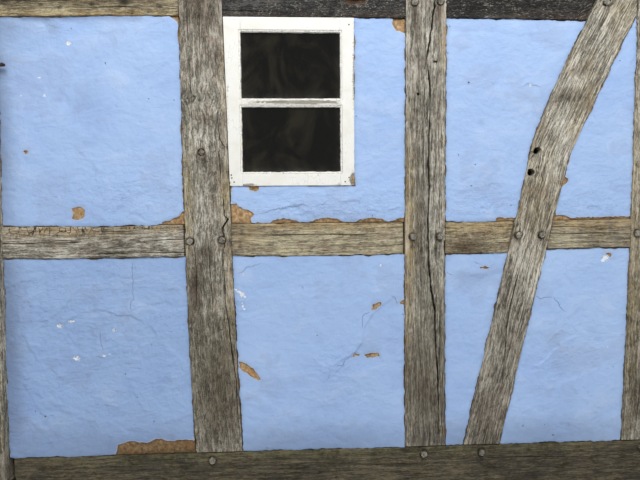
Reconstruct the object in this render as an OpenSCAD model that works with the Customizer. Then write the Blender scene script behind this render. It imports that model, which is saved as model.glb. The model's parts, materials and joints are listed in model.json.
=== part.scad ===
// Half-timbered house wall: three bays of a pegged oak frame with plastered
// infill panels, a naturally curved brace and one small fixed window.
// Millimetres. +X runs along the wall, +Z is up and the outer face looks to -Y.
// The origin is under the sill, at the middle of the wall.

/* [Bays] */
// Clear width of the left bay, at the middle rail
bay_left = 735; // [500:5:1100]
// Clear width of the bay that holds the window
bay_window = 734; // [680:2:1100]
// Clear width of the bay that holds the curved brace
bay_brace = 806; // [760:2:1000]
// Clear height of the lower panels
lower_h = 847; // [600:1:1100]
// Clear height of the upper panels
upper_h = 840; // [780:1:1100]
// Clear height of the low panels under the wall plate
frieze_h = 240; // [180:1:500]

/* [Timbers] */
// Width of the left end post, which runs down past the sill
post_left_w = 175; // [160:1:260]
// Width of the post beside the window
post_window_w = 195; // [170:1:260]
// Width of the post between window and brace
post_middle_w = 175; // [165:1:260]
// Width of the right end post
post_right_w = 180; // [165:1:260]
// Depth of the posts, sill and plate, through the wall
frame_d = 180; // [150:1:240]
// How far the left end post stands out in front of the others
left_proud = 25; // [0:1:60]
// Depth of the rails, through the wall
rail_d = 160; // [130:1:180]
// Height of the sill beam
sill_h = 200; // [160:1:300]
// Height of the middle rails
mid_rail_h = 138; // [110:1:200]
// Height of the upper rails
upper_rail_h = 147; // [110:1:200]
// Height of the wall plate
plate_h = 188; // [140:1:260]

/* [Curved brace] */
// Width of the brace at its foot, square to its length
brace_foot_w = 163; // [120:1:170]
// Width of the brace at its knee
brace_knee_w = 176; // [130:1:190]
// Width of the brace halfway from knee to head, where it is widest
brace_belly_w = 188; // [140:1:210]
// Width of the brace at its head
brace_head_w = 162; // [130:1:190]
// Distance from the middle post to the axis of the brace's foot
brace_foot_x = 169; // [120:1:200]
// Height of the knee, where the brace starts to curve, over the middle rail
brace_knee_up = 300; // [200:5:400]
// How far the knee stands to the right of the foot
brace_knee_x = 283; // [250:1:310]
// Height at which the axis meets the right post, over the underside of the upper rail
brace_head_up = 195; // [150:5:215]
// How far the upper part bends out of the straight line from knee to head
brace_bow = 31; // [0:1:60]

/* [Joinery] */
// Thickness of every tenon
tenon_t = 40; // [25:1:60]
// Length of every tenon
tenon_l = 58; // [40:1:65]
// Distance of the tenons' middle plane from the outer face
tenon_in = 80; // [60:1:100]
// Shoulder left on each edge of a tenon
tenon_shoulder = 18; // [10:1:30]
// Clearance all round a tenon in its mortise
tenon_fit = 0.5; // [0.2:0.1:2]
// Diameter of the oak pegs
peg_d = 30; // [20:1:36]
// Clearance between a peg and its hole, all round
peg_fit = 0.3; // [0.1:0.1:1]
// How far the pegs stand out of the outer face, as a rule
peg_proud = 9; // [8:1:20]
// How far the pegs stand out of the inner face
peg_tail = 14; // [0:1:40]

/* [Infill] */
// How far the plaster lies behind the face of the posts
plaster_in = 5; // [0:1:20]
// Thickness of the outer and the inner plaster
plaster_t = 14; // [8:1:25]
// Thickness of the blue top coat of the outer plaster, which has chipped away in places
coat_t = 4; // [2:0.5:8]
// Thickness of the daub between the two coats of plaster
daub_t = 122; // [90:1:126]

/* [Window] */
// Width of the window frame, out to out
window_w = 524; // [420:2:560]
// Height of the window frame, out to out
window_h = 684; // [500:2:700]
// Width of the window frame's members, on their face
window_bar = 50; // [35:1:70]
// Depth of the window frame, through the wall
window_d = 46; // [35:1:70]
// How far the window frame lies behind the face of the posts
window_in = 2; // [0:1:20]
// Depth of the glazing rebate, from the outer face
rebate_d = 16; // [12:1:24]
// Width of the glazing rebate, which the putty fills
rebate_w = 8; // [6:1:14]
// Width of the glazing bar between its two rebates
bar_w = 20; // [14:1:40]
// Thickness of the panes
glass_t = 3; // [2:0.5:6]
// Gap between a pane and the edge of its rebate
glass_gap = 1.5; // [0.5:0.5:3]
// Thickness of the window board inside
board_t = 25; // [18:1:40]
// How far the window board stands into the room, past the inner plaster
board_over = 30; // [0:1:80]

/* [Weathering] */
// Width of the long shake in the middle post
shake_w = 9; // [4:1:16]
// Depth of the long shake
shake_d = 42; // [10:1:48]
// Radius of the rotten knot hole in the upper rail over the window
knot_r = 50; // [20:1:60]
// Depth of that knot hole
knot_d = 26; // [8:1:45]
// Diameter of the two disused peg holes in the brace
old_hole_d = 30; // [20:1:36]
// Depth of the two disused peg holes
old_hole_deep = 55; // [20:1:75]

/* [Hook] */
// Diameter of the iron hook's bar
hook_d = 13; // [8:1:20]
// How far the hook stands out of the left post's side
hook_l = 41; // [20:1:60]
// How far the hook's end comes forward
hook_tip = 18; // [8:1:40]
// How far the hook sits under the upper rail
hook_drop = 200; // [60:1:400]

/* [Hidden] */

$fn = 48;

// Depths: y of the faces, from the outer face to the inner one
y_out = -frame_d / 2;
y_in = y_out + frame_d;
y_rail_in = y_out + rail_d;
y_plaster = y_out + plaster_in;
y_daub = y_plaster + plaster_t;
y_inner = y_daub + daub_t;
y_room = y_inner + plaster_t;
y_tenon = y_out + tenon_in;
y_window = y_out + window_in;
y_seat = y_window + rebate_d;
y_window_in = y_window + window_d;

// Widths along the wall
wall_l = post_left_w + bay_left + post_window_w + bay_window
    + post_middle_w + bay_brace + post_right_w;
x_start = -wall_l / 2;
x_end = wall_l / 2;

// Levels
z_sill = sill_h;
z_mid = z_sill + lower_h;
z_mid_top = z_mid + mid_rail_h;
z_upper = z_mid_top + upper_h;
z_upper_top = z_upper + upper_rail_h;
z_plate = z_upper_top + frieze_h;
z_top = z_plate + plate_h;

// Sides of the posts at the middle rail: left side, right side
LEFT = [x_start, x_start + post_left_w];
WINDOW = [LEFT[1] + bay_left, LEFT[1] + bay_left + post_window_w];
MIDDLE = [WINDOW[1] + bay_window, WINDOW[1] + bay_window + post_middle_w];
RIGHT = [MIDDLE[1] + bay_brace, MIDDLE[1] + bay_brace + post_right_w];

// How far the window frame's nominal side lies inside the post's side
window_scribe = 4;
window_left = WINDOW[1] - window_scribe;
window_right = window_left + window_w;

// Each post is hewn by eye. For its left and its right side: how much the side
// leans from foot to head, how far the foot flares and how far the side bows.
HEW_LEFT = [[0, 0, 0], [50, 0, 0]];
HEW_WINDOW = [[0, 25, 0], [-40, 17, 3]];
HEW_MIDDLE = [[0, 2, -1], [-4, 8, 0]];
HEW_RIGHT = [[4, -3, 7], [0, 0, 0]];
hew_ref = (z_mid + mid_rail_h / 2 - z_sill) / (z_plate - z_sill);
hew_steps = 12;

// Each rail is hewn by eye too: rise along its length, sag of its lower edge,
// crown of its upper edge and how much its right end is lifted as a whole.
HEW_MID_LEFT = [0, 3, -6, 0];
HEW_MID_WINDOW = [0, 3, 0, 0];
HEW_MID_BRACE = [2, 2, -3, 0];
HEW_MID_END = [4, -2, 0, 12];
HEW_UPPER_LEFT = [12, 0, 2, -8];
HEW_UPPER_WINDOW = [0, 0, 3, 1];
HEW_UPPER_BRACE = [-5, -2, 0, 2];
rail_steps = 8;

// Peg centres: distance from the shoulder into the tenon, height over the
// middle of the rail and how much prouder than the rule the peg stands, for
// each tenon from left to right
PEG_MID = [[25, 0, 0], [22, -4, -6], [42, -1, -6], [35, 6, 4],
    [27, 5, 5], [30, 8, 3], [37, 8, 3], [29, 10, 0]];
PEG_UPPER = [[28, 4, 0], [26, 12, -5], [34, 10, -5], [38, -9, -3], [28, -4, -3], [39, 0, -4]];
peg_end = 33;
peg_chamfer = 4;

// Two disused peg holes in the brace: distance from its left side, height over
// the top of the middle rail
OLD_HOLES = [[32, 298], [21, 207]];

// Route of the shake in the middle post: offset from the post's axis and share
// of the height from sill to plate
SHAKE = [[63, 0.027], [60, 0.145], [50, 0.194], [45, 0.271], [26, 0.321], [17, 0.366],
    [12, 0.448], [17, 0.506], [12, 0.563], [16, 0.637], [17, 0.692], [3, 0.75],
    [15, 0.787], [34, 0.859], [24, 0.927]];

// Chips in the top coat, as outlines from a corner or a point of their panel
CORNER_CHIP = [[-30, -30], [-30, 75], [22, 72], [26, 52], [50, 46], [88, 34], [82, 18], [86, -30]];
POST_CHIP = [[30, -20], [30, 56], [-4, 52], [-16, 34], [-52, 12], [-84, 4], [-90, -20]];
SQUARE_CHIP = [[-22, -20], [-25, 8], [-16, 21], [8, 24], [23, 16], [24, -12], [10, -22]];
square_chip_x = 426;
square_chip_z = 46;
HEAD_CHIP = [[30, 30], [-44, 30], [-50, -12], [-34, -40], [-12, -56], [30, -60]];

// Length of a peg through a post or rail
peg_l = frame_d + peg_proud + peg_tail;
peg_hole = peg_d + 2 * peg_fit;
// Small length by which cutters run past the faces they cut
eps = 1;
// Length by which blanks reach into what they are scribed to
lap = 60;

oak = "#8a8172";
oak_brown = "#857058";
oak_dark = "#55504a";
oak_inside = "#8f7b62";
lime_blue = "#9bb5e6";
lime_white = "#e6e2d8";
clay = "#b08a5e";
white_paint = "#e9e7e1";
putty_cream = "#d8cfb8";
iron = "#3a3532";
pane = "#27302f";

// Outline in the wall's plane, given as [x, z] points, from depth y0 to y1
module across(y0, y1) {
    translate([0, y1, 0]) rotate([90, 0, 0]) linear_extrude(height = y1 - y0) children();
}

module block(x0, x1, y0, y1, z0, z1) {
    translate([x0, y0, z0]) cube([x1 - x0, y1 - y0, z1 - z0]);
}

// Place of a hewn side at the share s of the height from sill to plate
function side_x(base, hew, s) =
    base + hew[0] * (s - hew_ref) + hew[1] * pow(max(0, 1 - s), 4) + hew[2] * sin(180 * s);
function height_s(z) = (z - z_sill) / (z_plate - z_sill);

// Both sides of a post from its foot up, with the same stations on every post
function stations(foot_z, head_z) = concat(
    foot_z < z_sill ? [foot_z] : [],
    [for (i = [0:hew_steps]) z_sill + (z_plate - z_sill) * i / hew_steps],
    head_z > z_plate ? [head_z] : []
);
function side_points(base, hew, foot_z, head_z) =
    [for (z = stations(foot_z, head_z)) [side_x(base, hew, height_s(z)), z]];
function turned(list) = [for (i = [len(list) - 1:-1:0]) list[i]];

module post_body(sides, hew, foot_z, head_z, y0, y1) {
    across(y0, y1) polygon(concat(
        side_points(sides[0], hew[0], foot_z, head_z),
        turned(side_points(sides[1], hew[1], foot_z, head_z))
    ));
}

// The four posts as cutters, which reach through the wall and past the infill
module cut_posts() {
    for (p = [[LEFT, HEW_LEFT], [WINDOW, HEW_WINDOW], [MIDDLE, HEW_MIDDLE], [RIGHT, HEW_RIGHT]])
        post_body(p[0], p[1], 0, z_plate + eps, y_out - left_proud - eps, y_in + eps);
}

// Hole for a peg, through the whole wall
module peg_bore(x, z) {
    translate([x, y_in + eps, z]) rotate([90, 0, 0])
        cylinder(d = peg_hole, h = frame_d + left_proud + 2 * eps);
}

// Oak peg: a round shank with its tail chamfered where it was driven in
module peg(x, z, proud = 0) {
    translate([x, y_in + peg_tail, z]) rotate([90, 0, 0]) {
        cylinder(d1 = peg_d - 2 * peg_chamfer, d2 = peg_d, h = peg_chamfer);
        translate([0, 0, peg_chamfer]) cylinder(d = peg_d, h = peg_l + proud - peg_chamfer);
    }
}

// Tenon with its own length along X or Z, and the mortise that takes it
module tenon(x0, x1, z0, z1) {
    block(x0, x1, y_tenon - tenon_t / 2, y_tenon + tenon_t / 2, z0, z1);
}

module mortise(x0, x1, z0, z1) {
    block(x0 - tenon_fit, x1 + tenon_fit,
        y_tenon - tenon_t / 2 - tenon_fit, y_tenon + tenon_t / 2 + tenon_fit,
        z0 - tenon_fit, z1 + tenon_fit);
}

// Curved brace: its axis is straight from foot to knee and bends from there to its head
brace_foot = [MIDDLE[1] + brace_foot_x, z_sill];
brace_knee = [brace_foot[0] + brace_knee_x, z_mid_top + brace_knee_up];
brace_head = [RIGHT[0], z_upper + brace_head_up];
function unit(v) = v / norm(v);
function square_to(v) = [v[1], -v[0]];
brace_dir = unit(brace_knee - brace_foot);
brace_chord = unit(brace_head - brace_knee);
brace_bend = (brace_knee + brace_head) / 2 - square_to(brace_chord) * brace_bow;
brace_end_dir = unit(brace_head - brace_bend);
brace_run = 160;
straight_steps = 6;
arc_steps = 10;

function bent(t) =
    brace_knee * pow(1 - t, 2) + brace_bend * 2 * t * (1 - t) + brace_head * pow(t, 2);
function bent_dir(t) =
    unit((brace_bend - brace_knee) * (1 - t) + (brace_head - brace_bend) * t);
belly_pull = 2 * brace_belly_w - (brace_knee_w + brace_head_w) / 2;
function bent_w(t) =
    brace_knee_w * pow(1 - t, 2) + belly_pull * 2 * t * (1 - t) + brace_head_w * pow(t, 2);

// Stations of the brace: point on the axis, direction, width
BRACE = concat(
    [[brace_foot - brace_dir * brace_run, brace_dir, brace_foot_w]],
    [for (i = [0:straight_steps - 1]) let (t = i / straight_steps)
        [brace_foot + (brace_knee - brace_foot) * t, brace_dir,
            brace_foot_w + (brace_knee_w - brace_foot_w) * pow(t, 6)]],
    [for (i = [0:arc_steps]) let (t = i / arc_steps) [bent(t), bent_dir(t), bent_w(t)]],
    [[brace_head + brace_end_dir * brace_run, brace_end_dir, brace_head_w]]
);
function brace_side(st, k) = st[0] + k * square_to(st[1]) * st[2] / 2;
// Place of the brace's left (k = -1) or right (k = 1) side at the height z
function brace_x(z, k) = [for (i = [0:len(BRACE) - 2])
    let (a = brace_side(BRACE[i], k), b = brace_side(BRACE[i + 1], k))
        if (a[1] <= z && z < b[1]) a[0] + (b[0] - a[0]) * (z - a[1]) / (b[1] - a[1])][0];

brace_outline = concat(
    [for (st = BRACE) brace_side(st, -1)],
    turned([for (st = BRACE) brace_side(st, 1)])
);

// All that lies to the left of the brace's axis
left_of_brace = concat(
    [[MIDDLE[0], z_top], [MIDDLE[0], 0]],
    [for (st = BRACE) st[0]]
);

module cut_brace() {
    intersection() {
        across(y_out - eps, y_in + eps) polygon(brace_outline);
        block(MIDDLE[0], RIGHT[1], y_out - 2 * eps, y_in + 2 * eps, z_sill, z_plate);
    }
}

head_tenon_down = 50;
head_tenon_up = 60;
brace_tenon_z = [brace_head[1] - head_tenon_down, brace_head[1] + head_tenon_up];
brace_foot_tenon = [brace_x(z_sill, -1) + tenon_shoulder, brace_x(z_sill, 1) - tenon_shoulder];
brace_rail_in = [brace_x(z_mid + mid_rail_h / 2, -1), brace_x(z_mid + mid_rail_h / 2, 1)];
brace_upper_in = brace_x(z_upper + upper_rail_h / 2, -1);

// Rails: a blank that reaches into its neighbours, scribed to them afterwards
function rail_low(z0, hew, s) = z0 + hew[3] + hew[0] * s - hew[1] * sin(180 * s);
function rail_high(z0, h, hew, s) = z0 + h + hew[0] * s + hew[2] * sin(180 * s);

module rail_body(x0, x1, z0, h, hew, y0 = y_out, y1 = y_rail_in) {
    across(y0, y1) polygon(concat(
        [for (i = [0:rail_steps]) let (s = i / rail_steps)
            [x0 + (x1 - x0) * s, rail_low(z0, hew, s)]],
        [for (i = [rail_steps:-1:0]) let (s = i / rail_steps)
            [x0 + (x1 - x0) * s, rail_high(z0, h, hew, s)]]
    ));
}

// Blank ends of the rails, in the middle of what they run into
MID_ENDS = [
    [LEFT[1] - lap, WINDOW[0] + lap], [WINDOW[1] - lap, MIDDLE[0] + lap],
    [MIDDLE[1] - lap, brace_rail_in[0] + lap], [brace_rail_in[1] - lap, RIGHT[0] + lap]
];
MID_HEWS = [HEW_MID_LEFT, HEW_MID_WINDOW, HEW_MID_BRACE, HEW_MID_END];
UPPER_ENDS = [
    [LEFT[1] - lap, WINDOW[0] + lap], [WINDOW[1] - lap, MIDDLE[0] + lap],
    [MIDDLE[1] - lap, brace_upper_in + lap]
];
UPPER_HEWS = [HEW_UPPER_LEFT, HEW_UPPER_WINDOW, HEW_UPPER_BRACE];

// All rails as cutters, through the wall
module cut_rails() {
    for (i = [0:3])
        rail_body(MID_ENDS[i][0], MID_ENDS[i][1], z_mid, mid_rail_h, MID_HEWS[i],
            y_out - eps, y_in + eps);
    for (i = [0:2])
        rail_body(UPPER_ENDS[i][0], UPPER_ENDS[i][1], z_upper, upper_rail_h, UPPER_HEWS[i],
            y_out - eps, y_in + eps);
}

// Shoulders at the height z: x of a post's side
function post_side(sides, hew, k, z) = side_x(sides[k], hew[k], height_s(z));
mid_c = z_mid + mid_rail_h / 2;
upper_c = z_upper + upper_rail_h / 2;

// Shoulder places of the middle rails: left end, right end
MID_SHOULDERS = [
    [post_side(LEFT, HEW_LEFT, 1, mid_c), post_side(WINDOW, HEW_WINDOW, 0, mid_c)],
    [post_side(WINDOW, HEW_WINDOW, 1, mid_c), post_side(MIDDLE, HEW_MIDDLE, 0, mid_c)],
    [post_side(MIDDLE, HEW_MIDDLE, 1, mid_c), brace_rail_in[0]],
    [brace_rail_in[1], post_side(RIGHT, HEW_RIGHT, 0, mid_c)]
];
UPPER_SHOULDERS = [
    [post_side(LEFT, HEW_LEFT, 1, upper_c), post_side(WINDOW, HEW_WINDOW, 0, upper_c)],
    [post_side(WINDOW, HEW_WINDOW, 1, upper_c), post_side(MIDDLE, HEW_MIDDLE, 0, upper_c)],
    [post_side(MIDDLE, HEW_MIDDLE, 1, upper_c), brace_upper_in]
];

// Lowest and highest level of a rail's tenons, inside its hewn edges
function tenon_z(z0, h) = [z0 + tenon_shoulder, z0 + h - tenon_shoulder];
mid_tenon = tenon_z(z_mid, mid_rail_h);
upper_tenon = tenon_z(z_upper, upper_rail_h);

// Mortises for all rail tenons, cut into posts and brace
module rail_mortises() {
    for (s = MID_SHOULDERS) {
        mortise(s[0] - tenon_l, s[0] + lap, mid_tenon[0], mid_tenon[1]);
        mortise(s[1] - lap, s[1] + tenon_l, mid_tenon[0], mid_tenon[1]);
    }
    for (s = UPPER_SHOULDERS) {
        mortise(s[0] - tenon_l, s[0] + lap, upper_tenon[0], upper_tenon[1]);
        mortise(s[1] - lap, s[1] + tenon_l, upper_tenon[0], upper_tenon[1]);
    }
}

// Peg places
function end_pegs(shoulders, level, left, right) = [
    [shoulders[0] - left[0], level + left[1], left[2]],
    [shoulders[1] + right[0], level + right[1], right[2]]
];
MID_PEGS = [for (i = [0:3])
    each end_pegs(MID_SHOULDERS[i], mid_c, PEG_MID[2 * i], PEG_MID[2 * i + 1])];
UPPER_PEGS = [for (i = [0:2])
    each end_pegs(UPPER_SHOULDERS[i], upper_c, PEG_UPPER[2 * i], PEG_UPPER[2 * i + 1])];
function post_axis(sides) = (sides[0] + sides[1]) / 2;
brace_foot_axis = (brace_foot_tenon[0] + brace_foot_tenon[1]) / 2;
SILL_PEGS = [for (x = [post_axis(WINDOW), post_axis(MIDDLE), brace_foot_axis, post_axis(RIGHT)])
    [x, z_sill - peg_end, 0]];
PLATE_PEGS = [for (x = [post_axis(LEFT), post_axis(WINDOW), post_axis(MIDDLE), post_axis(RIGHT)])
    [x, z_plate + peg_end, 0]];
HEAD_PEG = [[RIGHT[0] + peg_end, (brace_tenon_z[0] + brace_tenon_z[1]) / 2, 0]];
SILL_END_PEG = [[LEFT[1] - peg_end, z_sill / 2, 0]];

module all_bores() {
    for (p = concat(MID_PEGS, UPPER_PEGS, SILL_PEGS, PLATE_PEGS, HEAD_PEG, SILL_END_PEG))
        peg_bore(p[0], p[1]);
}

// Post tenons into sill and plate
post_tenon_w = 90;
POST_FEET = [post_axis(WINDOW), post_axis(MIDDLE), post_axis(RIGHT)];
POST_HEADS = [post_axis(LEFT), post_axis(WINDOW), post_axis(MIDDLE), post_axis(RIGHT)];

module post_tenons(x, foot = true) {
    if (foot)
        tenon(x - post_tenon_w / 2, x + post_tenon_w / 2, z_sill - tenon_l, z_sill + lap);
    tenon(x - post_tenon_w / 2, x + post_tenon_w / 2, z_plate - lap, z_plate + tenon_l);
}

module post(sides, hew, foot_z, y0) {
    difference() {
        union() {
            post_body(sides, hew, foot_z, z_plate, y0, y_in);
            post_tenons(post_axis(sides), foot_z == z_sill);
        }
        rail_mortises();
        all_bores();
    }
}

sill_tenon_z = [tenon_shoulder, z_sill - tenon_shoulder];
x_sill = side_x(LEFT[1], HEW_LEFT[1], 0);

module sill_beam() color(oak_brown) difference() {
    union() {
        difference() {
            block(x_sill - lap, x_end, y_out, y_in, 0, z_sill);
            left_foot_cut();
        }
        tenon(x_sill - tenon_l, x_sill + lap, sill_tenon_z[0], sill_tenon_z[1]);
    }
    for (x = POST_FEET)
        mortise(x - post_tenon_w / 2, x + post_tenon_w / 2, z_sill - tenon_l, z_sill + eps);
    mortise(brace_foot_tenon[0], brace_foot_tenon[1], z_sill - tenon_l, z_sill + eps);
    all_bores();
}

module left_foot_cut() {
    post_body(LEFT, HEW_LEFT, 0, z_plate, y_out - left_proud - eps, y_in + eps);
}

module wall_plate() color(oak) difference() {
    block(x_start, x_end, y_out, y_in, z_plate, z_top);
    for (x = POST_HEADS)
        mortise(x - post_tenon_w / 2, x + post_tenon_w / 2, z_plate - eps, z_plate + tenon_l);
    all_bores();
}

module post_left() color(oak) difference() {
    post(LEFT, HEW_LEFT, 0, y_out - left_proud);
    mortise(x_sill - tenon_l, x_sill + lap, sill_tenon_z[0], sill_tenon_z[1]);
    hook_bore();
}

module post_window() color(oak) post(WINDOW, HEW_WINDOW, z_sill, y_out);

module post_middle() color(oak) difference() {
    post(MIDDLE, HEW_MIDDLE, z_sill, y_out);
    long_shake();
}

// Wedge-shaped crack that wanders up the middle post
module long_shake() {
    x0 = post_axis(MIDDLE);
    left = [for (p = SHAKE) [x0 + p[0] - shake_w / 2, z_sill + p[1] * (z_plate - z_sill)]];
    right = [for (p = turned(SHAKE)) [x0 + p[0] + shake_w / 2, z_sill + p[1] * (z_plate - z_sill)]];
    across(y_out - eps, y_out + shake_d) polygon(concat(left, right));
}

module post_right() color(oak) difference() {
    post(RIGHT, HEW_RIGHT, z_sill, y_out);
    mortise(RIGHT[0] - lap, RIGHT[0] + tenon_l, brace_tenon_z[0], brace_tenon_z[1]);
}

module curved_brace() color(oak) difference() {
    union() {
        difference() {
            intersection() {
                across(y_out, y_in) polygon(brace_outline);
                block(MIDDLE[0], RIGHT[1], y_out - eps, y_in + eps, z_sill, z_plate);
            }
            cut_posts();
        }
        tenon(brace_foot_tenon[0], brace_foot_tenon[1], z_sill - tenon_l, z_sill + lap);
        tenon(RIGHT[0] - lap / 2, RIGHT[0] + tenon_l, brace_tenon_z[0], brace_tenon_z[1]);
    }
    rail_mortises();
    all_bores();
    for (h = OLD_HOLES)
        translate([brace_x(z_mid_top + h[1], -1) + h[0], y_out + old_hole_deep, z_mid_top + h[1]])
            rotate([90, 0, 0])
                cylinder(d = old_hole_d, h = old_hole_deep + eps);
}

// A rail between two shoulders: blank, scribed ends, tenons and peg bores
module rail(ends, shoulders, z0, h, hew, tz) {
    difference() {
        union() {
            difference() {
                rail_body(ends[0], ends[1], z0, h, hew);
                cut_posts();
                cut_brace();
            }
            tenon(shoulders[0] - tenon_l, shoulders[0] + lap, tz[0], tz[1]);
            tenon(shoulders[1] - lap, shoulders[1] + tenon_l, tz[0], tz[1]);
        }
        all_bores();
    }
}

module mid_rail(i, tint) {
    color(tint) rail(MID_ENDS[i], MID_SHOULDERS[i], z_mid, mid_rail_h, MID_HEWS[i], mid_tenon);
}

module upper_rail(i) {
    rail(UPPER_ENDS[i], UPPER_SHOULDERS[i], z_upper, upper_rail_h, UPPER_HEWS[i], upper_tenon);
}

module mid_rail_left() mid_rail(0, oak);
module mid_rail_window() mid_rail(1, oak_brown);
module mid_rail_brace() mid_rail(2, oak_brown);
module mid_rail_end() mid_rail(3, oak);
module upper_rail_left() color(oak_brown) upper_rail(0);

// The upper rail over the window has a round rotten knot hole in its face
knot_sphere_r = (knot_r * knot_r + knot_d * knot_d) / (2 * knot_d);
knot_shift = 4;
knot_x = window_right - knot_shift;
module upper_rail_window() color(oak_dark) difference() {
    upper_rail(1);
    translate([knot_x, y_out + knot_d - knot_sphere_r, z_upper + upper_rail_h / 2])
        sphere(r = knot_sphere_r);
}

module upper_rail_brace() color(oak_dark) upper_rail(2);

// Window: its left stile is scribed to the post and its head to the rail
z_window = z_upper - window_h;
sight_x = [window_left + window_bar, window_right - window_bar];
sight_z = [z_window + window_bar, z_upper - window_bar];
bar_z = (sight_z[0] + sight_z[1]) / 2;
scribe_room = 25;
halving = window_d / 2;
PANES = [[sight_z[0], bar_z - bar_w / 2], [bar_z + bar_w / 2, sight_z[1]]];

// Space that the window takes in the wall, with room for its scribed edges
module window_space(y0, y1) {
    block(window_left - scribe_room, window_right, y0, y1, z_window, z_upper + scribe_room);
}

// The opening of both panes and the wider rebate in front of them
module glazing_cut() {
    for (p = PANES) {
        block(sight_x[0] + rebate_w, sight_x[1] - rebate_w, y_window - eps, y_window_in + eps,
            p[0] + rebate_w, p[1] - rebate_w);
        block(sight_x[0], sight_x[1], y_window - eps, y_seat, p[0], p[1]);
    }
}

// Members of the frame meet in halved corners: the stiles lap over the rails
module stile(x0, x1) {
    difference() {
        block(x0, x1, y_window, y_window_in, z_window, z_upper + scribe_room);
        glazing_cut();
        rail_blank(z_window, sight_z[0] + rebate_w);
        rail_blank(sight_z[1] - rebate_w, z_upper + scribe_room);
        cut_rails();
        cut_posts();
        bar_blank();
    }
}

module rail_blank(z0, z1) {
    block(window_left - scribe_room, window_right, y_window + halving, y_window_in + eps,
        z0, z1);
}

module frame_rail(z0, z1) {
    difference() {
        union() {
            block(sight_x[0] + rebate_w, sight_x[1] - rebate_w, y_window, y_window_in, z0, z1);
            intersection() {
                rail_blank(z0, z1);
                block(window_left - scribe_room, window_right, y_window, y_window_in,
                    z0, z1);
            }
        }
        glazing_cut();
        cut_rails();
        cut_posts();
    }
}

module bar_blank() {
    block(sight_x[0] + rebate_w / 2, sight_x[1] - rebate_w / 2, y_window + halving, y_window_in,
        bar_z - bar_w / 2, bar_z + bar_w / 2);
}

module window_stile_left() color(white_paint)
    stile(window_left - scribe_room, sight_x[0] + rebate_w);
module window_stile_right() color(white_paint)
    stile(sight_x[1] - rebate_w, window_right);
module window_head() color(white_paint)
    frame_rail(sight_z[1] - rebate_w, z_upper + scribe_room);
module window_foot() color(white_paint) frame_rail(z_window, sight_z[0] + rebate_w);

module glazing_bar() color(white_paint) difference() {
    union() {
        block(sight_x[0] + rebate_w, sight_x[1] - rebate_w, y_window, y_window_in,
            bar_z - bar_w / 2 - rebate_w, bar_z + bar_w / 2 + rebate_w);
        bar_blank();
    }
    glazing_cut();
}

module window_glass() color(pane)
    for (p = PANES)
        block(sight_x[0] + glass_gap, sight_x[1] - glass_gap, y_seat - glass_t, y_seat,
            p[0] + glass_gap, p[1] - glass_gap);

// Fillet of putty with a sloping face, round each pane
module window_putty() color(putty_cream)
    for (p = PANES) difference() {
        block(sight_x[0], sight_x[1], putty_y[0], putty_y[1], p[0], p[1]);
        putty_slope(p);
    }

// The inside of the putty: four sloping faces that meet in mitres
putty_y = [y_window + eps, y_seat - glass_t];
putty_slant = rebate_w / (putty_y[1] - putty_y[0]);

// Span between two sloping faces at the depth y, given its span at the front
function putty_span(span, y) =
    [span[0] + putty_slant * (y - putty_y[0]), span[1] - putty_slant * (y - putty_y[0])];
function putty_profile(span) =
    let (y0 = putty_y[0] - eps, y1 = putty_y[1] + eps, a = putty_span(span, y0), b = putty_span(span, y1))
        [[y0, a[0]], [y0, a[1]], [y1, b[1]], [y1, b[0]]];

module putty_slope(p) {
    intersection() {
        translate([0, 0, p[0] - eps]) linear_extrude(height = p[1] - p[0] + 2 * eps)
            polygon([for (q = putty_profile(sight_x)) [q[1], q[0]]]);
        translate([sight_x[0] - eps, 0, 0]) rotate([90, 0, 90])
            linear_extrude(height = sight_x[1] - sight_x[0] + 2 * eps) polygon(putty_profile(p));
    }
}

// Board on the daub behind the window, between the post and the reveal
module window_board() color(oak_inside) difference() {
    block(window_left - scribe_room, window_right, y_window_in, y_room + board_over,
        z_window - board_t, z_window);
    cut_posts_deep();
}

module cut_posts_deep() {
    post_body(WINDOW, HEW_WINDOW, z_sill, z_plate, y_out, y_room + board_over + eps);
}

// Infill of one panel field, from y0 to y1, scribed to the timbers round it
module infill(x0, x1, z0, z1, y0, y1) {
    difference() {
        block(x0, x1, y0, y1, z0, z1);
        cut_posts();
        cut_rails();
        cut_brace();
    }
}

// Levels between which each row of panels lies, in the middle of the rails
LOWER = [z_sill, z_mid + mid_rail_h / 2];
UPPER = [z_mid + mid_rail_h / 2, z_upper + upper_rail_h / 2];
TOP = [z_upper + upper_rail_h / 2, z_plate];
// Fields along the wall, from post axis to post axis
FIELD_L = [post_axis(LEFT), post_axis(WINDOW)];
FIELD_W = [post_axis(WINDOW), post_axis(MIDDLE)];
FIELD_B = [post_axis(MIDDLE), post_axis(RIGHT)];

module field(f, row, y0, y1) {
    infill(f[0], f[1], row[0], row[1], y0, y1);
}

// One side of a field that the brace divides
module field_part(row, y0, y1, left) {
    if (left)
        intersection() {
            field(FIELD_B, row, y0, y1);
            across(y0 - eps, y1 + eps) polygon(left_of_brace);
        }
    else
        difference() {
            field(FIELD_B, row, y0, y1);
            across(y0 - eps, y1 + eps) polygon(left_of_brace);
        }
}

module daub_left_bay() color(clay)
    for (row = [LOWER, UPPER, TOP]) field(FIELD_L, row, y_daub, y_inner);

module daub_window_bay() color(clay) {
    field(FIELD_W, LOWER, y_daub, y_inner);
    difference() {
        infill(FIELD_W[0], FIELD_W[1], UPPER[0], z_window, y_daub, y_inner);
        board_space();
    }
    field(FIELD_W, TOP, y_daub, y_inner);
}

// Room for the window board in the daub and the inner plaster
module board_space() {
    block(window_left - scribe_room, window_right, y_window_in, y_room + eps,
        z_window - board_t, z_window + eps);
}

module daub_beside_window() color(clay)
    infill(window_right, FIELD_W[1], z_window, UPPER[1], y_daub, y_inner);

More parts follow.
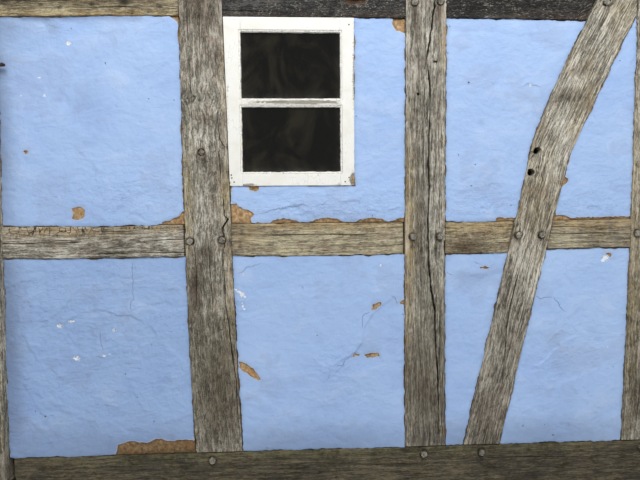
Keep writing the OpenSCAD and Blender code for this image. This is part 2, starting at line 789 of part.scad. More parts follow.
module daub_brace_bay() color(clay)
    for (row = [LOWER, UPPER, TOP]) field(FIELD_B, row, y_daub, y_inner);

module outer_plaster(f, row) color(lime_blue) field(f, row, y_plaster, y_daub);

// A chip in the top coat: its outline is given from the point x, z
module chip(x, z, outline) {
    translate([x, 0, z]) across(y_plaster - eps, y_plaster + coat_t) polygon(outline);
}

module plaster_lower_left() outer_plaster(FIELD_L, LOWER);
module plaster_upper_left() difference() {
    outer_plaster(FIELD_L, UPPER);
    chip(WINDOW[0], z_mid_top, POST_CHIP);
    chip(WINDOW[0] - square_chip_x, z_mid_top + square_chip_z, SQUARE_CHIP);
}
module plaster_top_left() outer_plaster(FIELD_L, TOP);
module plaster_lower_window() outer_plaster(FIELD_W, LOWER);
module plaster_round_window() difference() {
    outer_plaster(FIELD_W, UPPER);
    window_space(y_plaster - eps, y_daub + eps);
    chip(WINDOW[1], z_mid_top, CORNER_CHIP);
    chip(MIDDLE[0], z_upper, HEAD_CHIP);
}
module plaster_top_window() outer_plaster(FIELD_W, TOP);
module plaster_lower_brace_left() color(lime_blue) field_part(LOWER, y_plaster, y_daub, true);
module plaster_lower_brace_right() color(lime_blue) field_part(LOWER, y_plaster, y_daub, false);
module plaster_upper_brace_left() color(lime_blue) field_part(UPPER, y_plaster, y_daub, true);
module plaster_upper_brace_right() color(lime_blue) field_part(UPPER, y_plaster, y_daub, false);
module plaster_top_brace() outer_plaster(FIELD_B, TOP);

module inner_plaster_left() color(lime_white)
    for (row = [LOWER, UPPER, TOP]) field(FIELD_L, row, y_inner, y_room);
module inner_plaster_window() color(lime_white) difference() {
    for (row = [LOWER, UPPER, TOP]) field(FIELD_W, row, y_inner, y_room);
    window_space(y_inner - eps, y_room + eps);
    board_space();
}
module inner_plaster_brace() color(lime_white)
    for (row = [LOWER, UPPER, TOP]) field(FIELD_B, row, y_inner, y_room);

module pegs_mid_rail() color(oak_inside) for (p = MID_PEGS) peg(p[0], p[1], proud_at(p));
module pegs_upper_rail() color(oak_inside)
    for (p = concat(UPPER_PEGS, HEAD_PEG)) peg(p[0], p[1], proud_at(p));
module pegs_sill() color(oak_inside)
    for (p = concat(SILL_PEGS, SILL_END_PEG)) peg(p[0], p[1], proud_at(p));
module pegs_plate() color(oak_inside) for (p = PLATE_PEGS) peg(p[0], p[1], p[2]);

// Pegs in the left post are longer, because that post stands out
function proud_at(p) = p[2] + (p[0] < LEFT[1] ? left_proud : 0);

// Forged hook, driven into the side of the left post, in front of the plaster
hook_drive = 40;
y_hook = y_out - left_proud / 2;
hook_world_z = z_upper - hook_drop;
hook_x = post_side(LEFT, HEW_LEFT, 1, hook_world_z);

module hook_bore() {
    translate([hook_x - hook_drive - tenon_fit, y_hook, hook_world_z]) rotate([0, 90, 0])
        cylinder(d = hook_d + 2 * peg_fit, h = hook_drive + 2 * eps + tenon_fit);
}

module iron_hook() color(iron) translate([hook_x, y_hook, hook_world_z]) {
    translate([-hook_drive, 0, 0]) rotate([0, 90, 0])
        cylinder(d = hook_d, h = hook_drive + hook_l - hook_d / 2);
    translate([hook_l - hook_d / 2, 0, 0]) {
        sphere(d = hook_d);
        rotate([90, 0, 0]) cylinder(d = hook_d, h = hook_tip);
        translate([0, -hook_tip, 0]) sphere(d = hook_d);
    }
}

sill_beam();
wall_plate();
post_left();
post_window();
post_middle();
post_right();
curved_brace();
mid_rail_left();
mid_rail_window();
mid_rail_brace();
mid_rail_end();
upper_rail_left();
upper_rail_window();
upper_rail_brace();
daub_left_bay();
daub_window_bay();
daub_beside_window();
daub_brace_bay();
plaster_lower_left();
plaster_upper_left();
plaster_top_left();
plaster_lower_window();
plaster_round_window();
plaster_top_window();
plaster_lower_brace_left();
plaster_lower_brace_right();
plaster_upper_brace_left();
plaster_upper_brace_right();
plaster_top_brace();
inner_plaster_left();
inner_plaster_window();
inner_plaster_brace();
window_stile_left();
window_stile_right();
window_head();
window_foot();
glazing_bar();
window_glass();
window_putty();
window_board();
pegs_mid_rail();
pegs_upper_rail();
pegs_sill();
pegs_plate();
iron_hook();
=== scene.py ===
import json
import math

import bmesh
import bpy
import numpy as np
from mathutils import Matrix, Vector, geometry

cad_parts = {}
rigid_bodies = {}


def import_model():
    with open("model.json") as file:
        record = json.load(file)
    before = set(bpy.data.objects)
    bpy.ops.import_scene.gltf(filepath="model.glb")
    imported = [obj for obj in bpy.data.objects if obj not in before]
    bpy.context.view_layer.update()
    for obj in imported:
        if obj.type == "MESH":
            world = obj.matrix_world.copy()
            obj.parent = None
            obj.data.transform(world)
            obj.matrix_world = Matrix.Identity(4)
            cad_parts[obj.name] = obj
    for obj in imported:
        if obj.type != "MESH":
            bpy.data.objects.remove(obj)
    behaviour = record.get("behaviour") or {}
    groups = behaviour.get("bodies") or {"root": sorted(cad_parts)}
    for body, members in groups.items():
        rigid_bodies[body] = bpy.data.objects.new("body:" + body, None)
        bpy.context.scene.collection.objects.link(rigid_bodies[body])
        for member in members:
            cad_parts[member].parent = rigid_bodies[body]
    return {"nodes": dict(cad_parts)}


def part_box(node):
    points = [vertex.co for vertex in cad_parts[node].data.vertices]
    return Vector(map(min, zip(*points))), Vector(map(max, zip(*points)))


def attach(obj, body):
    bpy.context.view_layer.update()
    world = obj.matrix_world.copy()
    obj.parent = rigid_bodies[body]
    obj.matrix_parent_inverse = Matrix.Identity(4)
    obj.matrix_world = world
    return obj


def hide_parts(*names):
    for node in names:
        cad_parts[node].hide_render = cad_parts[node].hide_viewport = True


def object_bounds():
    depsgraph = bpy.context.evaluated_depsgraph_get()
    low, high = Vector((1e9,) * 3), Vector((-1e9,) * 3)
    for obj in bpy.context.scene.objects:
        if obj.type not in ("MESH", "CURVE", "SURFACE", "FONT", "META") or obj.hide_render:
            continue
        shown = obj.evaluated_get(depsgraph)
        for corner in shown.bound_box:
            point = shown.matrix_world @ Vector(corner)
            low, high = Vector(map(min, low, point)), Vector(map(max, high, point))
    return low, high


for leftover in list(bpy.data.objects):
    bpy.data.objects.remove(leftover)
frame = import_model()
CAD_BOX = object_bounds()
BOX_LOW, BOX_HIGH = (np.array(corner) for corner in CAD_BOX)
# Small enough to make no difference in the outlines
TINY = 1e-4

# Faces of the wall, from the outer side to the inner one
Y_OUT = -0.090
Y_PLASTER = -0.085
Y_DAUB = -0.071
Y_REVEAL = -0.044
Y_INNER = 0.051
Y_ROOM = 0.065
# The blue coat's thickness, and the gap behind it
COAT = 0.004
COAT_GAP = 0.0002


# Smooth random values
def lattice(ix, iy, iz, seed):
    h = (ix * 73856093) ^ (iy * 19349663) ^ (iz * 83492791) ^ (seed * 40503)
    h = h & 0xFFFFFFFF
    h = ((h ^ (h >> 15)) * 2246822519) & 0xFFFFFFFF
    h = ((h ^ (h >> 13)) * 3266489917) & 0xFFFFFFFF
    return ((h ^ (h >> 16)) & 0xFFFF) / 32767.5 - 1.0


def smooth(f):
    return f * f * (3 - 2 * f)


def noise(p, seed):
    """Value noise from -1 to 1 at the points p, whose last axis holds x, y, z."""
    p = np.asarray(p, float)
    cell = np.floor(p).astype(np.int64)
    f = smooth(p - cell)
    total = 0.0
    for dx in (0, 1):
        wx = f[..., 0] if dx else 1 - f[..., 0]
        for dy in (0, 1):
            wy = f[..., 1] if dy else 1 - f[..., 1]
            for dz in (0, 1):
                wz = f[..., 2] if dz else 1 - f[..., 2]
                total = total + wx * wy * wz * lattice(
                    cell[..., 0] + dx, cell[..., 1] + dy, cell[..., 2] + dz, seed)
    return total


def layered(p, seed, octaves):
    """Noise at the points p with finer noise on it."""
    p = np.asarray(p, float)
    total, weight, size = 0.0, 1.0, 1.0
    for i in range(octaves):
        total = total + weight * noise(p * size, seed + 17 * i)
        weight *= 0.5
        size *= 2.03
    return total / 1.6


def flat(x, z, scale_x, scale_z=None):
    """Points for noise over the wall's face, in cells of the given sizes in metres."""
    return np.stack([x / scale_x, np.zeros_like(x), z / (scale_z or scale_x)], -1)


def on_line(way, second=0.0, third=0.0):
    """Points for noise along a line, with two numbers that tell it from other lines."""
    return np.stack([way, way * 0 + second, way * 0 + third], -1)


# Outlines of the CAD pieces
def mesh_points(node):
    return np.array([v.co for v in frame["nodes"][node].data.vertices], float)


def face_loops(node, side):
    """Outline loops (x, z) of the node's outermost flat face towards -Y (side -1) or +Y (side 1)."""
    co = mesh_points(node)
    face_y = co[:, 1].min() if side < 0 else co[:, 1].max()
    keys = [(round(x, 5), round(z, 5)) for x, _, z in co]
    ahead = {}
    for poly in frame["nodes"][node].data.polygons:
        if poly.normal.y * side < 0.99 or abs(co[poly.vertices[0], 1] - face_y) > TINY:
            continue
        ring = [keys[i] for i in poly.vertices]
        for a, b in zip(ring, ring[1:] + ring[:1]):
            if a in ahead.get(b, ()):
                ahead[b].remove(a)
            else:
                ahead.setdefault(a, []).append(b)
    loops = []
    while any(ahead.values()):
        start = next(k for k in ahead if ahead[k])
        loop, here = [start], ahead[start].pop()
        while here != start:
            loop.append(here)
            here = ahead[here].pop()
        loops.append(np.array(loop))
    return loops


def area(loop):
    x, z = loop[:, 0], loop[:, 1]
    return 0.5 * float(np.sum(x * np.roll(z, -1) - np.roll(x, -1) * z))


def crossings(loop, axis, value):
    """Where the loop crosses the line on which coordinate number axis has that value."""
    a, b = loop, np.roll(loop, -1, axis=0)
    low = np.minimum(a[:, axis], b[:, axis])
    high = np.maximum(a[:, axis], b[:, axis])
    hit = (low <= value) & (value < high)
    t = (value - a[hit, axis]) / (b[hit, axis] - a[hit, axis])
    other = 1 - axis
    return np.sort(a[hit, other] + t * (b[hit, other] - a[hit, other]))


def edges_of(loop, axis, values):
    """Lowest and highest crossing of the loop at each of the values."""
    low, high = loop[:, axis].min() + TINY, loop[:, axis].max() - TINY
    found = [crossings(loop, axis, min(max(v, low), high)) for v in values]
    return np.array([f[0] for f in found]), np.array([f[-1] for f in found])


# Pieces
def add_object(name, data):
    obj = bpy.data.objects.new(name, data)
    bpy.context.scene.collection.objects.link(obj)
    return obj


def make_piece(name, points, faces, material, nodes=(), attributes=None, angle=38):
    """Mesh object that rides on the wall, with its attributes given as name: values."""
    mesh = bpy.data.meshes.new(name)
    mesh.from_pydata(np.clip(np.asarray(points, float), BOX_LOW, BOX_HIGH).tolist(), [], faces)
    mesh.update()
    for key, values in (attributes or {}).items():
        values = np.asarray(values, np.float32)
        vector = values.ndim == 2
        layer = mesh.attributes.new(key, "FLOAT_VECTOR" if vector else "FLOAT", "POINT")
        layer.data.foreach_set("vector" if vector else "value", values.ravel())
    mesh.polygons.foreach_set("use_smooth", np.ones(len(mesh.polygons), bool))
    mesh.set_sharp_from_angle(angle=math.radians(angle))
    mesh.materials.append(material)
    obj = add_object(name, mesh)
    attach(obj, "root")
    if nodes:
        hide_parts(*nodes)


def ring_faces(first, second, around):
    """Quads between two rings of points, of which first and second are the starting numbers."""
    pairs = [(j, (j + 1) % around) for j in range(around)]
    return [(first + j, first + k, second + k, second + j) for j, k in pairs]


def turned(faces):
    """The faces as seen from their other side, cut along the same diagonals."""
    return [(face[0],) + face[:0:-1] for face in faces]


# Materials and the world are built from a few short node helpers
class Graph:
    def __init__(self, name, world=False):
        self.owner = (bpy.data.worlds if world else bpy.data.materials).new(name)
        self.owner.use_nodes = True
        self.tree = self.owner.node_tree
        self.tree.nodes.clear()
        self.out = self.node("ShaderNodeOutputWorld" if world else "ShaderNodeOutputMaterial")

    def put(self, socket, value):
        if isinstance(value, bpy.types.NodeSocket):
            self.tree.links.new(value, socket)
        elif value is not None:
            socket.default_value = value

    def node(self, kind, *values, **inputs):
        """A new node, with its first inputs in order and others by name."""
        n = self.tree.nodes.new(kind)
        for socket, value in zip(n.inputs, values):
            self.put(socket, value)
        for key, value in inputs.items():
            self.put(n.inputs[key], value)
        return n

    def attribute(self, name, vector=False):
        n = self.node("ShaderNodeAttribute")
        n.attribute_name = name
        return n.outputs["Vector" if vector else "Fac"]

    def place(self):
        return self.node("ShaderNodeTexCoord").outputs["Object"]

    def scaled(self, vector, scale, offset=(0, 0, 0)):
        return self.node("ShaderNodeMapping", Vector=vector, Scale=scale, Location=offset).outputs["Vector"]

    def noise(self, vector, scale, detail=4.0, rough=0.55, warp=0.0):
        return self.node("ShaderNodeTexNoise", Vector=vector, Scale=scale, Detail=detail,
                         Roughness=rough, Distortion=warp).outputs["Fac"]

    def stretched(self, vector, scale, detail=4.0, rough=0.55, warp=0.0, offset=(0, 0, 0)):
        """Noise with its own scale on each axis."""
        return self.noise(self.scaled(vector, scale, offset), 1.0, detail, rough, warp)

    def noise_colour(self, vector, scale):
        return self.node("ShaderNodeTexNoise", Vector=vector, Scale=scale, Detail=2.0).outputs["Color"]

    def spots(self, vector, scale):
        return self.node("ShaderNodeTexVoronoi", Vector=vector, Scale=scale).outputs["Distance"]

    def crackle(self, vector, scale, low, high):
        """Net of cracks: 1 along the edges of its cells, and nothing inside them."""
        n = self.node("ShaderNodeTexVoronoi", Vector=vector, Scale=scale)
        n.feature = "DISTANCE_TO_EDGE"
        return self.steps(n.outputs["Distance"], low, high, 1.0, 0.0)

    def calc(self, op, a, b=None):
        n = self.tree.nodes.new("ShaderNodeMath")
        n.operation = op
        self.put(n.inputs[0], a)
        self.put(n.inputs[1], b)
        return n.outputs[0]

    def plus(self, a, b):
        return self.calc("ADD", a, b)

    def minus(self, a, b):
        return self.calc("SUBTRACT", a, b)

    def times(self, a, b):
        return self.calc("MULTIPLY", a, b)

    def most(self, first, *others):
        for other in others:
            first = self.calc("MAXIMUM", first, other)
        return first

    def varied(self, value, part, weight):
        """The value, raised and lowered by the part's distance from its middle of 0.5."""
        return self.plus(value, self.times(self.minus(part, 0.5), weight))

    def weighed(self, *parts):
        """Sum of the parts, each a value and its weight."""
        products = [self.times(value, weight) for value, weight in parts]
        total = products[0]
        for product in products[1:]:
            total = self.plus(total, product)
        return total

    def vector(self, op, a, b):
        n = self.tree.nodes.new("ShaderNodeVectorMath")
        n.operation = op
        self.put(n.inputs[0], a)
        self.put(n.inputs["Scale" if op == "SCALE" else 1], b)
        return n.outputs[0]

    def steps(self, value, low, high, to_low=0.0, to_high=1.0):
        """Smooth change from to_low to to_high while the value goes from low to high."""
        n = self.node("ShaderNodeMapRange", value, low, high, to_low, to_high)
        n.interpolation_type = "SMOOTHSTEP"
        return n.outputs["Result"]

    def middle_line(self, value, half):
        """Thin line where the value passes its middle of 0.5."""
        return self.steps(self.calc("ABSOLUTE", self.minus(value, 0.5)), 0.0, half, 1.0, 0.0)

    def mix(self, share, a, b, mode="MIX"):
        n = self.tree.nodes.new("ShaderNodeMix")
        n.data_type = "RGBA"
        n.blend_type = mode
        n.clamp_factor = True
        self.put(n.inputs["Factor"], share)
        self.put(n.inputs[6], a)
        self.put(n.inputs[7], b)
        return n.outputs[2]

    def tint(self, colour, share, strength, other):
        """The colour drawn towards the other one by the share times the strength."""
        return self.mix(self.times(share, strength), colour, other)

    def ramp(self, value, *stops):
        n = self.node("ShaderNodeValToRGB", value)
        marks = n.color_ramp.elements
        while len(marks) < len(stops):
            marks.new(0.5)
        for mark, (place, colour) in zip(marks, stops):
            mark.position = place
            mark.color = colour
        return n.outputs["Color"]

    def bump(self, height, distance, strength=1.0):
        node = self.node("ShaderNodeBump", Height=height, Strength=strength, Distance=distance)
        return node.outputs["Normal"]

    def finish(self, colour, roughness, normal=None, specular=None, metallic=None, ior=None):
        self.shader = self.node("ShaderNodeBsdfPrincipled", **{
            "Base Color": colour, "Roughness": roughness, "Normal": normal,
            "Specular IOR Level": specular, "Metallic": metallic, "IOR": ior})
        self.put(self.out.inputs["Surface"], self.shader.outputs["BSDF"])
        return self.owner


def tone(r, g, b):
    """A colour written as it looks on screen, 0 to 255, as linear light."""
    def linear(v):
        v = v / 255
        return v / 12.92 if v <= 0.04045 else ((v + 0.055) / 1.055) ** 2.4
    return (linear(r), linear(g), linear(b), 1.0)


def oak(name, dark, middle, light, ochre, contrast=1.15, specks=0.0, streaks=1.8, flecks=1.9, fine=1.0,
        wavy=1.0):
    """Weathered oak. The grain attribute runs across, into and along the timber, in metres."""
    g = Graph(name)
    place = g.place()
    straight = g.attribute("grain", vector=True)

    def bend(across, along):
        drawn = g.noise_colour(g.scaled(straight, (across, across, along)), 1.0)
        return g.vector("SUBTRACT", drawn, (0.5, 0.5, 0.5))

    ripple = bend(50, 34)
    grain = straight
    for drift, size in ((bend(12, 3.0), 0.016), (ripple, 0.007 * wavy)):
        grain = g.vector("ADD", grain, g.vector("MULTIPLY", drift, (size, size, 0.0)))

    def fibre(across, along, detail, rough=0.6, offset=(0, 0, 0)):
        return g.stretched(grain, (across, across, along), detail, rough, offset=offset)

    streak = fibre(80 * fine, 4.5, 6.0, 0.74)
    fleck = fibre(210 * fine, 16, 4.0, 0.70, (5, 2, 8))
    nick = fibre(270, 80, 3.0, 0.65, (2, 7, 3))
    mottle = g.noise(place, 42.0, 6.0, 0.75, 0.4)
    patch = g.noise(place, 5.5, 3.0, 0.6)
    blotch = g.noise(place, 20.0, 3.0, 0.6)
    value = 0.5
    for part, weight in ((streak, streaks), (fleck, flecks), (nick, 0.9), (mottle, 0.65), (patch, 1.1)):
        value = g.varied(value, part, weight * contrast)
    colour = g.ramp(value, (0.08, dark), (0.50, middle), (0.92, light))
    bright = g.steps(fibre(230, 18, 2.0, 0.6, (8, 3, 2)), 0.58, 0.70)
    colour = g.tint(colour, bright, 0.45, light)
    warm = g.mix(0.8, colour, tone(206, 170, 136), "MULTIPLY")
    colour = g.tint(colour, g.steps(blotch, 0.50, 0.66), 0.50, warm)
    silver = g.times(g.attribute("silver"), g.steps(blotch, 0.30, 0.62))
    colour = g.tint(colour, silver, 0.5, g.mix(0.55, colour, tone(186, 186, 180)))
    honey = g.times(g.attribute("ochre"), g.steps(mottle, 0.34, 0.56))
    colour = g.tint(colour, honey, 0.8, g.mix(0.55, colour, ochre))
    moss = g.times(g.attribute("moss"), g.steps(mottle, 0.40, 0.60))
    colour = g.tint(colour, moss, 0.45, tone(118, 122, 84))
    stain = g.times(g.attribute("stain"), g.steps(streak, 0.20, 0.55, 0.6, 1.0))
    colour = g.tint(colour, stain, 0.9, g.mix(0.9, colour, tone(122, 102, 84), "MULTIPLY"))
    if specks:
        dots = g.times(g.steps(fibre(270, 70, 3.0, 0.7), 0.55, 0.68), g.steps(blotch, 0.38, 0.58, 0.25, 1.0))
        colour = g.tint(colour, dots, specks, tone(166, 164, 156))

    # openings between the fibres: pits, long seams, short thin lines and a net of cracks, sunk by the bump
    # and darkened, the dark partly painted shade inside them
    pit = g.steps(fibre(190, 24, 3.0, 0.6, (1, 9, 4)), 0.375, 0.30)
    pit = g.times(pit, g.steps(blotch, 0.40, 0.60, 0.35, 1.0))
    seam = g.middle_line(fibre(34, 1.9, 4.0, 0.6, (3, 1, 5)), 0.010)
    seam = g.times(seam, g.steps(fibre(16, 5, 2.0, 0.55, (7, 2, 1)), 0.52, 0.64))
    line = g.middle_line(fibre(90, 3.4, 3.0, 0.6, (6, 4, 1)), 0.018)
    line = g.times(line, g.steps(blotch, 0.36, 0.60, 0.10, 0.62))
    bent = g.vector("ADD", grain, g.vector("SCALE", ripple, 0.02))
    crackle = g.times(g.crackle(g.scaled(bent, (17, 17, 30)), 1.0, 0.012, 0.050), g.attribute("crackle"))
    gape = g.most(g.times(seam, 0.75), g.times(pit, 0.62), line, crackle)
    colour = g.mix(gape, colour, tone(44, 37, 30))
    # darkened as painted shade in cracks, holes and peg sockets, and by dark knots and marks
    colour = g.mix(g.attribute("hole"), colour, tone(20, 17, 14))
    relief = g.weighed((fleck, 0.45), (streak, 0.55), (fibre(520, 32, 2.0), 0.14), (mottle, 0.30),
                       (gape, -0.6))
    return g.finish(colour, g.steps(fleck, 0.2, 0.8, 0.74, 0.94), g.bump(relief, 0.0050), specular=0.25)


OAK_GREY = oak("oak grey", tone(58, 53, 44), tone(138, 133, 119), tone(210, 207, 196), tone(190, 156, 94))
OAK_STREAKY = oak("oak streaky", tone(66, 61, 50), tone(151, 147, 132), tone(222, 219, 208),
                  tone(190, 160, 104),
                  streaks=2.2, flecks=2.5, fine=1.5, wavy=0.45)
OAK_WARM = oak("oak warm", tone(72, 61, 43), tone(143, 132, 107), tone(200, 192, 163), tone(192, 158, 96),
               contrast=1.05, fine=1.35)
OAK_DARK = oak("oak dark", tone(11, 11, 12), tone(30, 30, 32), tone(80, 79, 77), tone(190, 134, 84),
               contrast=1.4, specks=0.85)
# The sill's oak is drawn dark: partly its damp, mossy colour and partly painted shade at the foot of the
# wall.
OAK_SILL = oak("oak sill", tone(34, 30, 21), tone(69, 63, 46), tone(109, 100, 79), tone(150, 118, 72))


def limewash():
    """Blue limewash: brushed clouds, dark marks, painted shade along the timbers, flaked spots down to a
    white ground, light specks, and dark specks: small pits with painted shade.
    """
    g = Graph("limewash blue")
    place = g.place()
    smear = g.stretched(place, (7, 7, 11), 4.0, 0.55, 0.5)
    lump = g.noise(place, 36.0, 3.0, 0.55, 0.2)
    colour = g.ramp(g.noise(place, 2.6, 4.0, 0.6), (0.28, tone(161, 191, 238)), (0.52, tone(168, 197, 240)),
                    (0.75, tone(176, 203, 243)))
    colour = g.mix(g.steps(smear, 0.50, 0.78, 0.0, 0.40), colour, tone(194, 213, 243))
    colour = g.mix(g.steps(smear, 0.46, 0.22, 0.0, 0.45), colour, tone(146, 171, 218))
    colour = g.mix(g.steps(lump, 0.40, 0.24, 0.0, 0.35), colour, tone(150, 172, 214))
    thin = g.noise(g.scaled(place, (1, 1, 1), (9.1, 3.3, 2.7)), 4.5, 3.0, 0.6)
    colour = g.tint(colour, g.steps(thin, 0.57, 0.62), 0.22, tone(156, 170, 204))
    # each panel's blue is darkened: partly the coat's own colour, partly painted shade, most at the lower
    # left
    colour = g.mix(g.attribute("deep"), colour, g.mix(1.0, colour, tone(214, 219, 226), "MULTIPLY"))
    # dark marks, painted shade along the timbers and under the rail, and darker towards the bottom
    darkening = g.times(g.attribute("grime_and_shade"), g.steps(smear, 0.3, 0.7, 0.7, 1.0))
    colour = g.mix(darkening, colour, tone(98, 112, 140))
    colour = g.tint(colour, g.attribute("rim"), 0.30, tone(214, 216, 220))
    # cracks in the coat are darkened by their depth: painted shade in them
    colour = g.tint(colour, g.attribute("crack"), 0.75, tone(92, 88, 88))
    crumb = g.noise(place, 150.0, 4.0, 0.7, 0.5)
    flake = g.steps(g.varied(g.attribute("bare"), crumb, 2.6), 0.48, 0.56)
    flake = g.times(flake, g.steps(g.attribute("bare"), 0.05, 0.25))
    colour = g.mix(flake, colour, g.ramp(crumb, (0.40, tone(208, 214, 224)), (0.6, tone(238, 243, 250))))
    odd = g.vector("ADD", place, g.vector("SCALE", g.noise_colour(place, 60.0), 0.02))
    colour = g.tint(colour, g.steps(g.spots(odd, 7.0), 0.034, 0.022), 0.6, tone(214, 223, 238))
    # dark specks: small pits, sunk by the bump, with their shade painted in
    speck = g.steps(g.spots(g.scaled(odd, (1, 1, 1), (3.3, 1.7, 5.1)), 11.0), 0.040, 0.025)
    colour = g.tint(colour, speck, 0.8, tone(84, 80, 84))
    layer = g.steps(g.stretched(odd, (22, 22, 60), 4.0, 0.6, 0.6, (4.0, 0.0, 2.0)), 0.485, 0.515)
    rugged = g.attribute("rugged")
    strokes = g.stretched(place, (30, 30, 90), 3.0, 0.55, 0.3)
    grit = g.noise(place, 420.0, 3.0, 0.6)
    relief = g.weighed((smear, 1.3), (lump, 0.58), (strokes, 0.14), (g.times(layer, rugged), 0.16),
                       (g.times(lump, rugged), 0.55), (flake, -0.12), (grit, 0.06), (speck, -0.5))
    return g.finish(colour, 0.88, g.bump(relief, 0.0070, 0.8))


def clay():
    """Daub with straw. Inside the wall it shows only in the reveal of the window, where it is limewashed."""
    g = Graph("straw daub")
    place = g.place()
    clod = g.noise(place, 60.0, 5.0, 0.7)
    grit = g.noise(place, 380.0, 3.0, 0.7)
    straw = g.steps(g.stretched(place, (300, 300, 26), 2.0, 0.5, 1.5, (0.4, 0, 0.9)), 0.64, 0.70)
    colour = g.ramp(clod, (0.30, tone(98, 76, 50)), (0.5, tone(166, 136, 98)), (0.70, tone(214, 188, 150)))
    colour = g.mix(g.steps(g.noise(place, 14.0, 3.0), 0.48, 0.68, 0.0, 0.4), colour, tone(178, 128, 78))
    colour = g.tint(colour, straw, 0.6, tone(224, 204, 158))
    colour = g.mix(g.steps(grit, 0.62, 0.75, 0.0, 0.5), colour, tone(120, 100, 76))
    # darker towards the bottom, and near its edges as painted shade where it meets the timbers
    colour = g.mix(g.attribute("grime_and_shade"), colour, g.mix(1.0, colour, tone(166, 160, 150), "MULTIPLY"))
    washed = g.ramp(g.noise(place, 9.0, 4.0, 0.6), (0.3, tone(208, 201, 186)), (0.7, tone(230, 226, 216)))
    depth = g.node("ShaderNodeSeparateXYZ", place).outputs["Y"]
    colour = g.mix(g.steps(depth, Y_REVEAL, Y_REVEAL + 0.003), colour, washed)
    relief = g.weighed((clod, 0.8), (grit, 0.3), (straw, 0.25))
    return g.finish(colour, 0.95, g.bump(relief, 0.004, 0.9))


def whitewash():
    """White limewash of the room."""
    g = Graph("limewash white")
    place = g.place()
    smear = g.stretched(place, (9, 9, 14), 5.0, 0.65, 0.6)
    colour = g.ramp(g.noise(place, 3.0, 4.0, 0.6), (0.3, tone(216, 211, 199)), (0.7, tone(232, 228, 219)))
    colour = g.mix(g.steps(smear, 0.45, 0.2, 0.0, 0.35), colour, tone(196, 189, 174))
    # darker near its edges: painted shade where the room's plaster meets the timbers
    colour = g.tint(colour, g.attribute("grime_and_shade"), 0.6, tone(170, 160, 142))
    relief = g.weighed((smear, 1.0), (g.noise(place, 420.0, 3.0, 0.6), 0.12))
    return g.finish(colour, 0.92, g.bump(relief, 0.004, 0.7))


def paint():
    """Old white oil paint on wood: brush marks along the member, cracks, and worn spots."""
    g = Graph("white window paint")
    place = g.place()
    brush = g.stretched(place, (260, 260, 30), 3.0, 0.6)
    streak = g.stretched(place, (14, 300, 300), 4.0, 0.7)
    cloud = g.noise(place, 16.0, 4.0, 0.6)
    worn = g.noise(place, 90.0, 5.0, 0.7)
    crackle = g.times(g.crackle(g.scaled(place, (90, 90, 34)), 1.0, 0.0, 0.035), g.steps(cloud, 0.50, 0.66))
    colour = g.ramp(cloud, (0.3, tone(226, 226, 219)), (0.6, tone(236, 237, 234)))
    colour = g.tint(colour, crackle, 0.5, tone(128, 120, 104))
    share = g.varied(g.varied(g.attribute("worn"), worn, 1.1), streak, 1.3)
    bare = g.steps(share, 0.42, 0.60)
    wood = g.ramp(streak, (0.35, tone(98, 94, 86)), (0.62, tone(164, 160, 150)))
    broken = g.steps(g.attribute("worn"), 1.22, 1.40, 0.0, 0.85)
    wood = g.mix(broken, wood, g.ramp(worn, (0.40, tone(120, 88, 52)), (0.6, tone(196, 160, 112))))
    colour = g.mix(bare, colour, wood)
    rub = g.minus(g.steps(share, 0.26, 0.42), bare)
    colour = g.tint(colour, rub, 0.5, tone(196, 190, 174))
    relief = g.weighed((brush, 0.3), (worn, 0.3), (crackle, -0.7), (bare, -0.8))
    return g.finish(colour, g.steps(worn, 0.3, 0.7, 0.42, 0.62), g.bump(relief, 0.0008, 0.7))


def putty():
    g = Graph("cracked putty")
    place = g.place()
    cloud = g.noise(place, 30.0, 4.0, 0.6)
    crumb = g.noise(place, 210.0, 4.0, 0.7)
    crackle = g.times(g.crackle(place, 85.0, 0.0, 0.06), g.steps(cloud, 0.42, 0.55))
    seam = g.steps(g.varied(g.attribute("seam"), crumb, 1.3), 0.58, 0.76)
    colour = g.ramp(cloud, (0.3, tone(236, 233, 222)), (0.65, tone(250, 250, 246)))
    colour = g.tint(colour, g.steps(crumb, 0.42, 0.30), 0.5, tone(168, 160, 140))
    colour = g.tint(colour, crackle, 0.7, tone(118, 108, 90))
    colour = g.mix(seam, colour, tone(92, 84, 68))
    relief = g.weighed((crumb, 1.6), (crackle, -1.0), (seam, -1.0))
    return g.finish(colour, 0.8, g.bump(relief, 0.0016, 0.9))


def pane():
    g = Graph("old glass with painted shade and reflections")
    place = g.place()
    dust = g.times(g.attribute("dust"), g.steps(g.noise(place, 14.0, 5.0, 0.7), 0.3, 0.7))
    # The glass is drawn almost black, painted shade of the dark room behind it, with brownish swirls as
    # painted reflections.
    depth = g.steps(g.stretched(place, (7, 7, 5), 4.0, 0.6, 0.8), 0.42, 0.66)
    colour = g.mix(depth, (0.0030, 0.0028, 0.0024, 1), (0.0170, 0.0150, 0.0090, 1))
    colour = g.tint(colour, dust, 0.22, (0.35, 0.34, 0.30, 1))
    ripple = g.noise(place, 9.0, 2.0, 0.4)
    return g.finish(colour, g.steps(dust, 0.0, 0.8, 0.05, 0.35), g.bump(ripple, 0.002, 0.35),
                    specular=0.14, ior=1.5)


def iron():
    g = Graph("rusty iron")
    rust = g.noise(g.place(), 160.0, 5.0, 0.7)
    colour = g.ramp(rust, (0.35, tone(44, 37, 33)), (0.55, tone(70, 52, 42)), (0.75, tone(112, 74, 50)))
    return g.finish(colour, g.steps(rust, 0.3, 0.7, 0.55, 0.9), g.bump(rust, 0.0008, 0.8), metallic=0.35)


LIME_BLUE = limewash()
DAUB = clay()
LIME_WHITE = whitewash()
PAINT = paint()
PUTTY = putty()
PANE = pane()
IRON = iron()


# Pegs of the CAD part
SAME_PEG = 0.045


